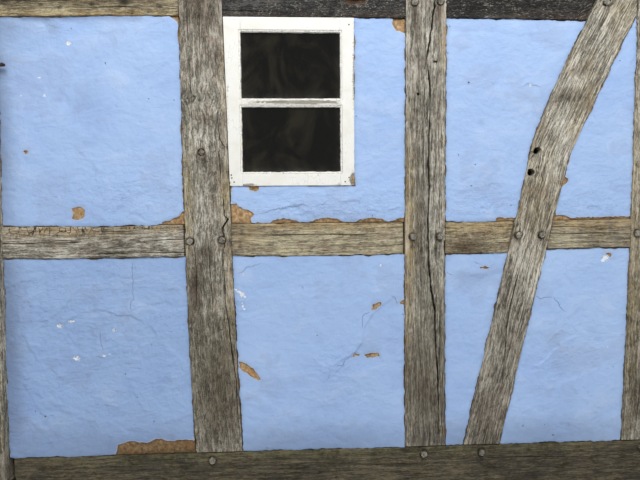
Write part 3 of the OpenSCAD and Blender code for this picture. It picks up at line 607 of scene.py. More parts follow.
def peg_places(node):
    """Centre (x, z), head, tail and radius of each peg of the node."""
    found = []
    for point in mesh_points(node):
        for peg in found:
            if math.hypot(point[0] - peg[0][0], point[2] - peg[0][2]) < SAME_PEG:
                peg.append(point)
                break
        else:
            found.append([point])
    places = []
    for peg in found:
        low, high = np.min(peg, 0), np.max(peg, 0)
        mid = (low + high) / 2
        places.append((mid[0], mid[2], low[1], high[1], (high[0] - low[0]) / 2))
    return places


PEGS = {node: peg_places(node) for node in ("pegs_mid_rail", "pegs_upper_rail", "pegs_sill", "pegs_plate")}
# A disused peg in the post beside the window, cut off level with its face
OLD_PEG = (-0.510, 1.481, Y_OUT + 0.0014, Y_OUT + 0.060, 0.0135)
PEGS_SHOWN = [peg for pegs in PEGS.values() for peg in pegs] + [OLD_PEG]
# The hole round each peg: x, z, radius, depth, and the darkness painted into it as shade
SOCKETS = [(x, z, radius + 0.0016, 0.012, 0.9) for x, z, *_, radius in PEGS_SHOWN]


# Timbers
BACK_STEP = 0.010
# Half the width of a crack where it is shut
SHUT = 0.0002
# Within this of a rail's end its edges are read further in, clear of the slanted end
RAIL_END = 0.035
# How far the dark stain under a peg runs down
PEG_DRIP = 0.06


def section(width, depth, radii, front, side_step, back_step):
    """Columns round a timber: place across and into it, and outward direction, for each station."""
    left, right, back_right, back_left = radii
    n = len(width)
    across, inward, out_a, out_b = [], [], [], []

    def add(a, b, na, nb):
        across.append(a + np.zeros(n))
        inward.append(b + np.zeros(n))
        out_a.append(na)
        out_b.append(nb)

    def corner(number, middle_a, middle_b, radius):
        for q in np.radians([22.5, 45.0, 67.5]):
            s, c = math.sin(q), math.cos(q)
            na, nb = ((s, -c), (c, s), (-s, c), (-c, -s))[number]
            add(middle_a + radius * na, middle_b + radius * nb, na, nb)

    for j in range(front.shape[1]):
        add(front[:, j], 0.0, 0.0, -1.0)
    corner(0, width - right, right, right)
    sides = max(3, round(depth / side_step))
    for f in np.linspace(0, 1, sides + 1) ** 1.3:
        add(width, right + (depth - right - back_right) * f, 1.0, 0.0)
    corner(1, width - back_right, depth - back_right, back_right)
    backs = max(3, round(float(width.mean()) / back_step))
    for f in np.linspace(0, 1, backs + 1):
        add((width - back_right) * (1 - f) + back_left * f, depth, 0.0, 1.0)
    corner(2, back_left, depth - back_left, back_left)
    for f in 1 - np.linspace(0, 1, sides + 1)[::-1] ** 1.3:
        add(0.0, (depth - back_left) * (1 - f) + left * f, -1.0, 0.0)
    corner(3, left, left, left)
    return np.stack(across, 1), np.stack(inward, 1), np.array(out_a)[None, :], np.array(out_b)[None, :]


def front_columns(width, left, right, cracks, step):
    """Columns over the front face. Five columns follow each crack: lip, wall, bottom, wall, lip."""
    columns, sunk = [], []
    here = left

    def even(end, last=0):
        count = max(1, round(float((end - here).mean()) / step))
        for j in range(count + last):
            columns.append(here + (end - here) * j / count)
            sunk.append(np.zeros(len(width)))

    for centre, half, deep in cracks:
        centre = np.clip(centre, here + half + 0.002, width - right - half - 0.002)
        even(centre - half)
        for shift, share in ((-1.0, 0.0), (-0.55, 0.8), (0.0, 1.0), (0.55, 0.8)):
            columns.append(centre + half * shift)
            sunk.append(deep * share)
        here = centre + half
    even(width - right, 1)
    return np.stack(columns, 1), np.stack(sunk, 1)


def wandering_cracks(length, width, count, seed, most=0.0032, deepest=0.018):
    """Drying checks that open and close along the timber."""
    rng = np.random.default_rng(seed)
    s = np.linspace(0, length, len(width))
    found = []
    for k in range(count):
        share = (k + 0.5 + rng.uniform(-0.25, 0.25)) / count
        line = on_line(s / 0.5, 0, k * 7.3)
        drift = layered(line, seed + 5 * k, 3) * 0.016 + noise(line * 9, seed + k) * 0.0012
        opening = np.clip(noise(line * 1.9 + 11.3, seed + 31 * k) - rng.uniform(0.0, 0.35), 0, 1) * 2.2
        opening = np.clip(opening, 0, 1) ** 0.7
        found.append((width * share + drift, SHUT + 0.5 * most * opening, deepest * opening))
    return found


def route_crack(places, edge, positions, half, deep):
    """One crack along a given route of way along, place across and opening, closed beyond its ends."""
    at, off, openings = np.array(positions).T
    opening = np.interp(places, at, openings, left=0.0, right=0.0)
    line = on_line(places / 0.02)
    centre = np.interp(places, at, off) - edge + noise(line, 3) * 0.0012
    wide = half * (0.75 + 0.35 * noise(line * 0.35, 8)) * opening
    return centre, SHUT + wide, deep * np.clip(opening * 1.5, 0, 1)


def shake_crack(shake, run, places, edge, wander, seed):
    """The crack that the CAD part has as an opening, frayed, and closed towards its ends."""
    first, last = shake[:, run].min(), shake[:, run].max()
    low, high = edges_of(shake, run, np.clip(places, first + TINY, last - TINY))
    shut = (places < first) | (places > last)
    fray = 0.78 + 0.4 * noise(wander * 0.8, seed + 77) + 0.25 * noise(wander * 4, seed + 78)
    fray = fray * np.clip(np.minimum(places - first, last - places) / 0.12, 0, 1) ** 0.7
    half = np.where(shut, SHUT, SHUT + (high - low) / 2 * np.clip(fray, 0.12, 1))
    centre = (low + high) / 2 - edge + noise(wander * 3, seed + 79) * 0.0016
    return centre, half, np.where(shut, 0.0, 0.040 * np.clip(fray * 1.6, 0.3, 1))


def bites(places, seed):
    """How far an edge is worn back along its length: hardly, but for a sharp bite here and there."""
    line = on_line(places / 0.030)
    few = np.clip(layered(line * 0.8, seed, 3) - 0.46, 0, 1)
    fine = np.clip(noise(line * 2.9, seed + 2), 0, 1)
    return 0.0003 + 0.0014 * fine + 0.018 * few


def ring_lines(along, across, m, centre_along, centre_across, radius):
    """Draws the mesh lines round a hole into circles, with the last ring inside it close to its edge.

    Returns the new places and, for each, its ring's distance from the centre."""
    row = int(np.argmin(np.abs(along[:, m // 2] - centre_along)))
    col = int(np.argmin(np.abs(across[row, :m] - centre_across)))
    low_row = int(np.argmin(np.abs(along[:, col] - centre_along + radius)))
    high_row = int(np.argmin(np.abs(along[:, col] - centre_along - radius)))
    if high_row - low_row < 3:
        return along, across, np.hypot(across - centre_across, along - centre_along)
    slope = ((across[high_row, col] - across[low_row, col])
             / (along[high_row, col] - along[low_row, col]))
    off = across - centre_across - slope * (along - centre_along)
    way = along - centre_along
    low_col = int(np.argmin(np.abs(off[row, :m] + radius)))
    high_col = int(np.argmin(np.abs(off[row, :m] - radius)))
    if high_col - low_col < 3:
        return along, across, np.hypot(off, way)
    far, wall = 2.4 * radius, 0.92 * radius
    marks = [-far, -radius, -wall, wall, radius, far]
    new_off = off.copy()
    for i in np.nonzero(np.abs(way[:, col]) < far)[0]:
        lines = off[i, [low_col, low_col + 1, high_col - 1, high_col]]
        new_off[i] = np.interp(off[i], [-far, *lines, far], marks)
    lines = way[[low_row, low_row + 1, high_row - 1, high_row], col]
    new_way = np.interp(way, [-far, *lines, far], marks)
    ring = np.maximum(np.abs(new_off), np.abs(new_way))
    blend = smooth(np.clip((far - ring) / (1.2 * radius), 0, 1))
    roundness = ring / np.maximum(np.hypot(new_off, new_way), 1e-9)
    new_off = off + blend * (new_off * roundness - off)
    new_way = way + blend * (new_way * roundness - way)
    ring = np.where(ring < far, ring, np.hypot(off, way))
    return centre_along + new_way, centre_across + new_off + slope * new_way, ring


def blobs(x, z, spots, seed):
    """Soft spots with ragged edges: each spot is x, z, its two radii and its strength."""
    total = np.zeros_like(x)
    wobble = layered(flat(x, z, 0.03), seed, 3)
    for sx, sz, rx, rz, strength in spots:
        d = ((x - sx) / rx) ** 2 + ((z - sz) / rz) ** 2
        total = np.maximum(total, strength * np.clip(np.exp(-d * (1 + 0.5 * wobble)), 0, 1))
    return total


def stations(start, length, along_step, gaps, openings, upright):
    """Shares of the timber's length where it gets a ring of points, and for each the gap it belongs to."""
    marks = [(v, 0) for v in np.linspace(0, 1, max(8, round(length / along_step)) + 1)]
    # extra stations for a shoulder that has shrunk away from its neighbour
    if gaps[0]:
        share = gaps[0][0] / length
        marks = [(0.0, 1), (share, 1), (share, 0)] + [mark for mark in marks if mark[0] > share * 1.4]
    if gaps[1]:
        share = gaps[1][0] / length
        marks = [mark for mark in marks if mark[0] < 1 - share * 1.4]
        marks += [(1 - share, 0), (1 - share, 2), (1.0, 2)]
    # closer stations where a hole or a peg comes through the face
    for hole in openings:
        centre = ((hole[1] if upright else hole[0]) - start) / length
        reach = hole[2] / length
        marks = [mark for mark in marks if mark[1] or abs(mark[0] - centre) > 1.55 * reach]
        fresh = [centre + reach * k / 4 for k in range(-6, 7)]
        marks += [(v, 0) for v in fresh if 0.02 < v < 0.98]
        marks.sort(key=lambda mark: mark[0])
    return np.array([mark[0] for mark in marks]), np.array([mark[1] for mark in marks])


def hewn(name, node, upright, material, slot, seed, step=0.005, along_step=0.009, random_cracks=3, routes=(),
         holes=(), knots=(), ochre=(), stains=(), moss=(), crackle=(), silver=0.5, edge_ochre=0.35,
         gaps=(None, None), axis=None, wear=1.0, hole_loop=None, side_step=0.020, shown_sides=(False, False),
         bowls=(), notches=(), dark_marks_and_hole_shade=(), rough=1.0, extend=0.0, curl=1.0):
    """A hewn timber that takes its outline from its CAD node."""
    loop = max(face_loops(node, -1), key=lambda loop: abs(area(loop)))
    low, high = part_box(node)
    y0 = float(low.y)
    depth = float(high.y) - y0
    run = 1 if upright else 0
    start, end = float(loop[:, run].min()), float(loop[:, run].max())
    length = end - start
    openings = [h for h in list(holes) + SOCKETS
                if low.x - 0.01 < h[0] < high.x + 0.01 and low.z - 0.01 < h[1] < high.z + 0.01]
    t, kinds = stations(start, length, along_step, gaps, openings, upright)
    n = len(t)
    places = start + length * t
    rest = 0.0 if upright else RAIL_END
    edge_low, edge_high = edges_of(loop, run, np.clip(places, start + rest, end - rest))
    wander = on_line(places / 0.07)
    width = edge_high - edge_low

    def worn_radius(base, salt):
        bite = np.clip(noise(wander * 1.6 + salt, seed + salt) - 0.35, 0, 1)
        return np.clip((base + 0.0016 * noise(wander, seed + salt + 1) + 0.011 * bite) * wear,
                       0.0012, width * 0.3)

    radii = [worn_radius(0.0036, 3), worn_radius(0.0036, 9), worn_radius(0.004, 14), worn_radius(0.004, 21)]
    cracks = wandering_cracks(length, width, random_cracks, seed)
    cracks += [route_crack(places, edge_low, *route) for route in routes]
    if hole_loop is not None:
        cracks.append(shake_crack(hole_loop, run, places, edge_low, wander, seed))
    cracks.sort(key=lambda c: float(c[0].mean()))
    front, sunk = front_columns(width, radii[0], radii[1], cracks, step)
    a, b, na, nb = section(width, depth, radii, front, side_step, BACK_STEP)
    m = front.shape[1]
    face = np.zeros_like(a)
    face[:, :m] = 1.0
    v = a / width[:, None]
    if upright:
        x = edge_low[:, None] + a
        z = places[:, None] + np.zeros_like(a)
    else:
        levels = np.linspace(float(loop[:, 1].min()) + 0.02, float(loop[:, 1].max()) - 0.02, 7)
        ends_low, ends_high = edges_of(loop, 1, levels)
        shares = (levels - edge_low.mean()) / width.mean()
        x_low = np.interp(v, shares, ends_low) - extend
        x_high = np.interp(v, shares, ends_high) + extend
        if float(high.x) > BOX_HIGH[0] - 0.001:
            x_high = np.minimum(x_high, BOX_HIGH[0])
        x = x_low + (x_high - x_low) * t[:, None]
        spread = np.clip(x, start + rest, end - rest)
        at = np.linspace(start, end, 120)
        z_low, z_high = (np.interp(spread, at, edge) for edge in edges_of(loop, 0, at))
        z = z_low + v * (z_high - z_low)

    # relief: hewn waves, weathered hollows between the fibres, rough edges
    lengthwise, crosswise = (z, x) if upright else (x, z)
    waves = layered(np.stack([lengthwise / 0.22, b / 0.09, crosswise / 0.10], -1), seed, 3)
    ribs = noise(np.stack([lengthwise / 0.16, b / 0.011, crosswise / 0.011], -1), seed + 50)
    small = noise(np.stack([lengthwise / 0.020, b / 0.010, crosswise / 0.010], -1), seed + 60)
    push = -(0.0015 - 0.0014 * waves) - rough * (0.0008 - 0.0008 * ribs) - rough * (0.0005 - 0.0005 * small)
    # a side that lies against a panel keeps its place there, and is worn only near the two faces
    near_face = np.exp(-(b / 0.022) ** 2) + np.exp(-((depth - b) / 0.022) ** 2)
    for side, shown in zip((-1, 1), shown_sides):
        if not shown:
            push = np.where(na * side > 0.5, push * np.clip(near_face, 0, 1), push)
    push = np.minimum(push, 0.0)
    bite_fade = np.exp(-b / 0.013), np.exp(-(depth - b) / 0.013)
    from_low = np.clip(1 - a / 0.020, 0, 1) ** 2
    from_high = np.clip(1 - (width[:, None] - a) / 0.020, 0, 1) ** 2
    bite = 0.0
    for salt, fade_in in zip((400, 410), bite_fade):
        bite = bite + fade_in * from_low * bites(lengthwise, seed + salt)
        bite = bite - fade_in * from_high * bites(lengthwise, seed + salt + 100)
    for notch_x, notch_z, reach, deep in notches:
        way = (lengthwise - (notch_z if upright else notch_x)) / reach
        cut = deep * np.exp(-way ** 4) * bite_fade[0]
        low_side = (notch_x if upright else notch_z) < float(edge_low.mean() + width.mean() / 2)
        bite = bite + np.where(low_side, cut * from_low, -cut * from_high)
    inwards = na * push + bite * wear
    if upright:
        x = x + inwards
    else:
        z = z + inwards
    b = b + nb * push

    # openings and hollows in the face, with painted shade darkening the cracks by their depth and the holes
    # and peg sockets
    hollow = np.zeros_like(a)
    hollow[:, :m] = sunk
    dark = np.clip(hollow / 0.012, 0, 1) * 0.90
    gx, gz = x.copy(), z.copy()
    for hx, hz, radius, deep, shade in openings:
        angle = np.arctan2(z - hz, x - hx)
        ragged = radius * (1 + 0.05 * noise(on_line(angle * 1.6, 0, hx * 90), seed))
        if upright:
            new_z, new_x, ring = ring_lines(z, x, m, hz, hx, radius)
        else:
            new_x, new_z, ring = ring_lines(x, z, m, hx, hz, radius)
        swell = np.where(ring < 2.4 * radius, ragged / radius, 1.0)
        swell = 1 + (swell - 1) * np.clip((2.4 * radius - ring) / (1.2 * radius), 0, 1)
        x = np.where(face > 0, hx + (new_x - hx) * swell, x)
        z = np.where(face > 0, hz + (new_z - hz) * swell, z)
        inner = (ring < 0.96 * radius) & (face > 0)
        floor_depth = deep * (1 - 0.12 * (ring / radius) ** 2)
        hollow = np.where(inner, np.maximum(hollow, floor_depth), hollow)
        dark = np.where(inner, np.maximum(dark, shade), dark)
    inside_bowl = np.zeros_like(a)
    for bx, bz, rx, rz, deep in bowls:
        d = np.hypot((x - bx) / rx, (z - bz) / rz) + 0.16 * layered(flat(x, z, 0.022), seed + 5, 3)
        dip = np.clip((1 - d) / 0.35, 0, 1) * face
        hollow = hollow + deep * smooth(dip)
        inside_bowl = np.maximum(inside_bowl, dip)
    # dark knots and marks, and painted shade in knot holes and notches
    dark = np.maximum(dark, blobs(x, z, dark_marks_and_hole_shade, seed + 12) * face)
    for kx, kz, rx, rz, deep in knots:
        d = ((x - kx) / rx) ** 2 + ((z - kz) / rz) ** 2
        hollow = hollow + deep * np.exp(-d * 1.4) * face
        gx = gx - (gx - kx) * np.exp(-d * 0.35) * 0.75
    y = y0 + b + hollow
    for number, gap in enumerate(gaps, 1):
        if gap:
            behind = y0 + gap[1] + (y - y0) * (depth - gap[1]) / depth
            y = np.where((kinds == number)[:, None], behind, y)

    # what the finish needs to know
    if axis is not None:
        grain_a, grain_s = axis(gx, gz)
    else:
        grain_s, off_middle = (gz, gx) if upright else (gx, gz)
        grain_a = off_middle - (edge_low + width / 2)[:, None]
    grain = np.stack([grain_a, b, grain_s * curl], -1) + np.array([seed * 0.37, seed * 0.11, seed * 0.71])
    near_edge = np.minimum(a, width[:, None] - a)
    fade = np.clip(1 - b / (depth * 0.75), 0, 1)
    patchy = np.clip(layered(flat(x, z, 0.09), seed + 7, 3) + 0.35, 0, 1)
    gold = edge_ochre * np.exp(-near_edge / 0.014) * patchy * fade + blobs(x, z, ochre, seed + 1) * fade
    soil = blobs(x, z, stains, seed + 2)
    soil = np.maximum(soil, 0.45 * np.exp(-np.abs(np.minimum(t, 1 - t))[:, None] * length / 0.012))
    for px, pz, *_, radius in PEGS_SHOWN:
        d = np.hypot(x - px, z - pz)
        soil = np.maximum(soil, 0.9 * np.exp(-((d - radius) / 0.006) ** 2) * face)
        drip = np.exp(-((x - px) / (radius * 0.8)) ** 2) * np.clip(1 - (pz - z) / PEG_DRIP, 0, 1) * (z < pz)
        soil = np.maximum(soil, 0.8 * drip * face)
    shades = {"ochre": np.maximum(gold, 0.6 * inside_bowl), "stain": soil,
              "silver": silver * np.clip(fade * 1.2, 0, 1), "hole": dark,
              "moss": blobs(x, z, moss, seed + 3) * fade, "crackle": blobs(x, z, crackle, seed + 4) * face}
    attributes = {key: np.clip(values, 0, 1).ravel() for key, values in shades.items()}
    attributes["grain"] = grain.reshape(-1, 3)
    k = a.shape[1]
    faces = [quad for i in range(n - 1) for quad in ring_faces(i * k, (i + 1) * k, k)]
    faces += [tuple(reversed(range(k))), tuple(range((n - 1) * k, n * k))]
    if not upright:
        faces = [quad[::-1] for quad in faces]
    make_piece(name, np.stack([x, y, z], -1).reshape(-1, 3), faces, material, [node], attributes)


# Curved brace: its axis runs straight up from the foot and bends from the knee to the head
BRACE_FOOT = (0.683, 0.200)
BRACE_KNEE = (0.966, 1.485)
BRACE_HEAD = (1.320, 2.220)
BRACE_BEND = (1.115, 1.839)


def brace_line():
    q = np.linspace(0, 1, 60)[:, None]
    foot, knee, bend, head = (np.array(p) for p in (BRACE_FOOT, BRACE_KNEE, BRACE_BEND, BRACE_HEAD))
    curve = knee * (1 - q) ** 2 + bend * 2 * q * (1 - q) + head * q ** 2
    beyond = head + (head - bend) * np.linspace(0.1, 1, 8)[:, None]
    return np.vstack([foot + (knee - foot) * np.linspace(-0.2, 1, 60)[:, None], curve[1:], beyond])


def nearest_on(route, x, z):
    """Distance to a route, offset to the right of its nearest segment, way along it, and its length."""
    best = np.full(x.shape, np.inf)
    aside, along = np.zeros_like(x), np.zeros_like(x)
    gone = 0.0
    for (ax, az), (bx, bz) in zip(route[:-1], route[1:]):
        dx, dz = bx - ax, bz - az
        size = math.hypot(dx, dz)
        q = np.clip(((x - ax) * dx + (z - az) * dz) / size ** 2, 0, 1)
        ox, oz = x - ax - q * dx, z - az - q * dz
        d = np.hypot(ox, oz)
        nearer = d < best
        best = np.where(nearer, d, best)
        aside = np.where(nearer, (ox * dz - oz * dx) / size, aside)
        along = np.where(nearer, gone + q * size, along)
        gone += size
    return best, aside, along, gone


def brace_grain(x, z):
    """Distance from the brace's axis and way along it."""
    return nearest_on(brace_line(), x, z)[1:3]


# The opening of the long shake is the second largest loop of its post
shake = sorted(face_loops("post_middle", -1), key=lambda loop: -abs(area(loop)))[1]
# Shrunk shoulders: how far along the timber and how deep
SHOULDER = (0.003, 0.035)
WIDE_SHOULDER = (0.0115, 0.045)
FOOT_GAP = (0.003, 0.030)

# The broad stains low on the posts and the brace make them darker towards the bottom.
hewn("hewn_post_left", "post_left", True, OAK_GREY, "oak_grey", 3, random_cracks=4, gaps=(None, FOOT_GAP),
     side_step=0.013, shown_sides=(True, False), stains=[(-1.40, 0.1, 0.3, 0.25, 0.7)],
     moss=[(-1.40, 0.3, 0.12, 0.4, 0.6)], curl=1.3)
hewn("hewn_post_window", "post_window", True, OAK_GREY, "oak_grey", 5, along_step=0.0075, random_cracks=3,
     gaps=(FOOT_GAP, FOOT_GAP),
     routes=[([(0.30, -0.378, 0.3), (0.52, -0.385, 0.8), (0.60, -0.396, 1.0), (0.78, -0.414, 0.8),
               (0.95, -0.435, 0.7), (1.06, -0.455, 0.3), (1.10, -0.470, 0.5), (1.141, -0.448, 1.0),
               (1.164, -0.431, 1.4), (1.204, -0.404, 1.2), (1.216, -0.420, 0.7), (1.283, -0.424, 0.6),
               (1.30, -0.426, 0.05), (1.36, -0.434, 0.1), (1.389, -0.434, 0.6), (1.448, -0.433, 0.6),
               (1.483, -0.440, 0.5), (1.492, -0.428, 0.1), (1.501, -0.410, 0.6), (1.512, -0.421, 0.9),
               (1.530, -0.431, 1.0), (1.594, -0.438, 0.5), (1.63, -0.440, 0.0)], 0.0034, 0.026)],
     knots=[(-0.500, 1.450, 0.018, 0.045, 0.001), (-0.47, 1.70, 0.03, 0.03, 0.002),
            (-0.552, 1.702, 0.030, 0.010, 0.0016)],
     stains=[(-0.50, 2.06, 0.10, 0.16, 0.95), (-0.46, 1.88, 0.06, 0.12, 0.6),
             (-0.455, 1.41, 0.045, 0.09, 0.6), (-0.498, 1.445, 0.012, 0.04, 0.9),
             (-0.45, 0.45, 0.16, 0.35, 0.9), (-0.49, 1.60, 0.05, 0.02, 0.6), (-0.545, 0.90, 0.035, 0.15, 1.0),
             (-0.56, 1.80, 0.02, 0.08, 0.5), (-0.495, 1.06, 0.03, 0.08, 0.8)],
     dark_marks_and_hole_shade=[(-0.560, 1.703, 0.016, 0.0035, 0.7), (-0.535, 1.706, 0.012, 0.004, 0.8),
           (-0.512, 1.692, 0.006, 0.004, 0.8), (-0.575, 1.685, 0.016, 0.003, 0.5),
           (-0.547, 1.686, 0.010, 0.003, 0.5), (-0.485, 1.645, 0.004, 0.006, 0.7),
           (-0.494, 1.452, 0.006, 0.028, 0.6)],
     ochre=[(-0.415, 1.30, 0.03, 0.12, 0.7), (-0.575, 1.25, 0.022, 0.2, 0.8),
            (-0.405, 0.95, 0.022, 0.22, 0.7), (-0.41, 1.75, 0.014, 0.2, 0.5)],
     moss=[(-0.575, 1.28, 0.03, 0.25, 0.9), (-0.40, 1.30, 0.02, 0.16, 0.8), (-0.45, 0.55, 0.15, 0.4, 0.9)],
     silver=0.6, curl=1.9)
hewn("hewn_post_middle", "post_middle", True, OAK_GREY, "oak_grey", 8, along_step=0.008, random_cracks=3,
     gaps=(FOOT_GAP, FOOT_GAP), hole_loop=shake,
     holes=[(0.394, 1.719, 0.0055, 0.010, 0.9), (0.467, 1.851, 0.006, 0.008, 0.8)],
     knots=[(0.387, 1.889, 0.012, 0.022, 0.004), (0.373, 1.848, 0.008, 0.010, 0.003),
            (0.407, 1.262, 0.012, 0.014, -0.002)],
     dark_marks_and_hole_shade=[(0.388, 1.893, 0.005, 0.014, 0.8), (0.376, 1.862, 0.004, 0.008, 0.6),
           (0.470, 1.856, 0.004, 0.009, 0.7), (0.381, 1.661, 0.003, 0.005, 0.8),
           (0.394, 1.718, 0.004, 0.010, 0.8), (0.405, 1.262, 0.006, 0.010, 0.6),
           (0.450, 1.335, 0.010, 0.004, 0.6), (0.458, 1.312, 0.008, 0.006, 0.5)],
     stains=[(0.377, 2.06, 0.016, 0.10, 0.95), (0.481, 2.05, 0.016, 0.09, 1.0), (0.39, 1.95, 0.02, 0.15, 0.5),
             (0.42, 0.45, 0.16, 0.35, 0.8), (0.405, 1.15, 0.022, 0.28, 0.75), (0.39, 1.75, 0.03, 0.2, 0.4),
             (0.465, 1.60, 0.015, 0.12, 0.5), (0.40, 1.47, 0.02, 0.10, 0.4)],
     ochre=[(0.507, 1.93, 0.015, 0.11, 0.9), (0.352, 1.10, 0.026, 0.34, 1.4), (0.345, 0.75, 0.02, 0.2, 0.9)],
     moss=[(0.42, 0.6, 0.14, 0.4, 0.6), (0.375, 1.12, 0.03, 0.35, 0.7)], silver=0.85, curl=0.8)
hewn("hewn_post_right", "post_right", True, OAK_GREY, "oak_grey", 11, random_cracks=4,
     gaps=(FOOT_GAP, FOOT_GAP), side_step=0.013, shown_sides=(False, True), silver=0.4,
     stains=[(1.42, 0.4, 0.14, 0.35, 0.5)], moss=[(1.34, 0.8, 0.06, 0.6, 0.7)],
     ochre=[(1.325, 1.4, 0.02, 0.3, 0.7), (1.345, 0.95, 0.035, 0.5, 0.7)])
hewn("hewn_brace", "curved_brace", True, OAK_STREAKY, "oak_grey", 14, along_step=0.008, random_cracks=2,
     gaps=(FOOT_GAP, None), axis=brace_grain,
     routes=[([(0.47, 0.770, 0.2), (0.60, 0.781, 0.9), (0.74, 0.789, 1.0), (0.84, 0.806, 1.0),
               (0.95, 0.832, 0.6), (1.02, 0.853, 0.5), (1.10, 0.880, 0.2)], 0.0034, 0.024)],
     holes=[(0.905, 1.483, 0.0165, 0.050, 0.97), (0.880, 1.392, 0.0165, 0.050, 0.97)],
     notches=[(0.870, 1.466, 0.014, 0.009), (0.700, 0.66, 0.050, 0.006), (1.005, 1.36, 0.020, 0.004)],
     dark_marks_and_hole_shade=[(0.884, 1.464, 0.006, 0.011, 1.2), (1.012, 1.710, 0.010, 0.010, 0.3),
           (1.038, 1.695, 0.006, 0.014, 0.35), (0.715, 0.66, 0.006, 0.045, 0.6)],
     stains=[(0.72, 0.30, 0.16, 0.3, 0.8), (0.80, 0.72, 0.09, 0.26, 0.6), (1.02, 1.71, 0.06, 0.035, 0.75),
             (1.20, 2.10, 0.022, 0.05, 0.8), (1.225, 2.00, 0.016, 0.04, 0.6), (1.09, 1.82, 0.03, 0.02, 0.5),
             (0.95, 1.56, 0.03, 0.03, 0.4)],
     ochre=[(0.90, 1.30, 0.10, 0.25, 0.45), (1.25, 2.05, 0.05, 0.15, 0.5), (1.08, 1.5, 0.03, 0.25, 0.5),
            (1.13, 1.75, 0.03, 0.12, 0.6)],
     silver=0.6, edge_ochre=0.6)

# Material, slot, seed, gaps at its two ends, curl of the grain, and what is its own
RAIL_LOOKS = {
    "mid_rail_left": (OAK_GREY, "oak_grey", 21, SHOULDER, SHOULDER, 1.2, {
        "ochre": [(-1.12, 1.176, 0.30, 0.040, 1.2), (-0.74, 1.178, 0.22, 0.026, 1.0)],
        "crackle": [(-1.12, 1.170, 0.24, 0.030, 1.3), (-0.78, 1.176, 0.16, 0.016, 1.1)],
        "knots": [(-1.085, 1.120, 0.035, 0.022, 0.001)], "silver": 0.5, "random_cracks": 3}),
    "mid_rail_window": (OAK_WARM, "oak_brown", 23, SHOULDER, WIDE_SHOULDER, 1.0, {
        "ochre": [(-0.05, 1.175, 0.5, 0.018, 0.9), (-0.32, 1.13, 0.08, 0.04, 0.5)],
        "stains": [(-0.31, 1.155, 0.07, 0.012, 0.6), (-0.22, 1.140, 0.06, 0.010, 0.4),
                   (-0.35, 1.12, 0.03, 0.03, 0.4)],
        "knots": [(-0.30, 1.150, 0.045, 0.016, 0.001)],
        "dark_marks_and_hole_shade": [(0.026, 1.134, 0.004, 0.004, 0.7), (-0.30, 1.085, 0.0016, 0.022, 0.5),
                 (-0.282, 1.075, 0.0016, 0.020, 0.6), (-0.262, 1.090, 0.0016, 0.016, 0.4)],
        "silver": 0.5, "random_cracks": 2}),
    "mid_rail_brace": (OAK_WARM, "oak_brown", 26, SHOULDER, SHOULDER, 1.6, {
        "ochre": [(0.70, 1.165, 0.2, 0.035, 0.9)],
        "stains": [(0.60, 1.08, 0.08, 0.035, 1.0), (0.72, 1.07, 0.06, 0.02, 0.6)], "silver": 0.4,
        "random_cracks": 2}),
    "mid_rail_end": (OAK_WARM, "oak_grey", 28, SHOULDER, SHOULDER, 0.9, {
        "ochre": [(1.15, 1.170, 0.3, 0.026, 1.0)], "silver": 0.8, "random_cracks": 3}),
    "upper_rail_left": (OAK_WARM, "oak_brown", 31, SHOULDER, SHOULDER, 1.2, {
        "ochre": [(-1.0, 2.03, 0.5, 0.014, 0.8)], "stains": [(-1.0, 2.085, 0.4, 0.022, 0.8)],
        "moss": [(-1.1, 2.06, 0.25, 0.02, 0.6)], "silver": 0.3,
        "knots": [(-1.13, 2.066, 0.020, 0.010, 0.001), (-0.93, 2.070, 0.024, 0.012, 0.001)],
        "dark_marks_and_hole_shade": [(-1.27, 2.078, 0.022, 0.009, 0.8), (-1.13, 2.066, 0.008, 0.005, 1.0),
                 (-1.03, 2.090, 0.012, 0.008, 0.9), (-0.93, 2.070, 0.010, 0.007, 1.0),
                 (-0.80, 2.080, 0.026, 0.012, 0.9),
                 (-0.66, 2.062, 0.012, 0.008, 0.9), (-1.06, 2.055, 0.008, 0.005, 0.9)],
        "random_cracks": 4}),
    "upper_rail_window": (OAK_DARK, "oak_dark", 33, SHOULDER, SHOULDER, 1.4, {
        "bowls": [(0.130, 2.108, 0.062, 0.034, 0.022)], "dark_marks_and_hole_shade": [(0.128, 2.108, 0.034, 0.016, 1.0)],
        "silver": 0.15, "random_cracks": 3}),
    "upper_rail_brace": (OAK_DARK, "oak_dark", 37, SHOULDER, SHOULDER, 1.0, {
        "stains": [(0.80, 2.09, 0.45, 0.05, 0.8)], "silver": 0.1, "random_cracks": 3}),
}
for node, (material, slot, seed, gap_left, gap_right, curl, options) in RAIL_LOOKS.items():
    hewn("hewn_" + node, node, False, material, slot, seed, gaps=(gap_left, gap_right), extend=0.004,
         rough=0.6, curl=curl, **options)

hewn("hewn_sill", "sill_beam", False, OAK_SILL, "oak_brown", 41, step=0.007, along_step=0.012,
     random_cracks=4, gaps=(SHOULDER, None), silver=0.2, moss=[(0.0, 0.19, 1.6, 0.03, 0.7)])
hewn("hewn_plate", "wall_plate", False, OAK_GREY, "oak_grey", 43, step=0.009, along_step=0.016,
     random_cracks=3, side_step=0.014, shown_sides=(False, True), silver=0.4)


# Pegs: carved by hand, so each is a little uneven
PEG_SIDES = 20
# Rings of a peg as way behind its head or its tail, and share of its radius
PEG_HEAD = ((0.0, 0.0), (0.0, 0.55), (0.0004, 0.86), (0.003, 0.97), (0.008, 1.0), (0.030, 1.0))
PEG_TAIL = ((-0.030, 0.99), (-0.010, 0.93), (-0.003, 0.80), (0.0, 0.62), (0.0, 0.0))


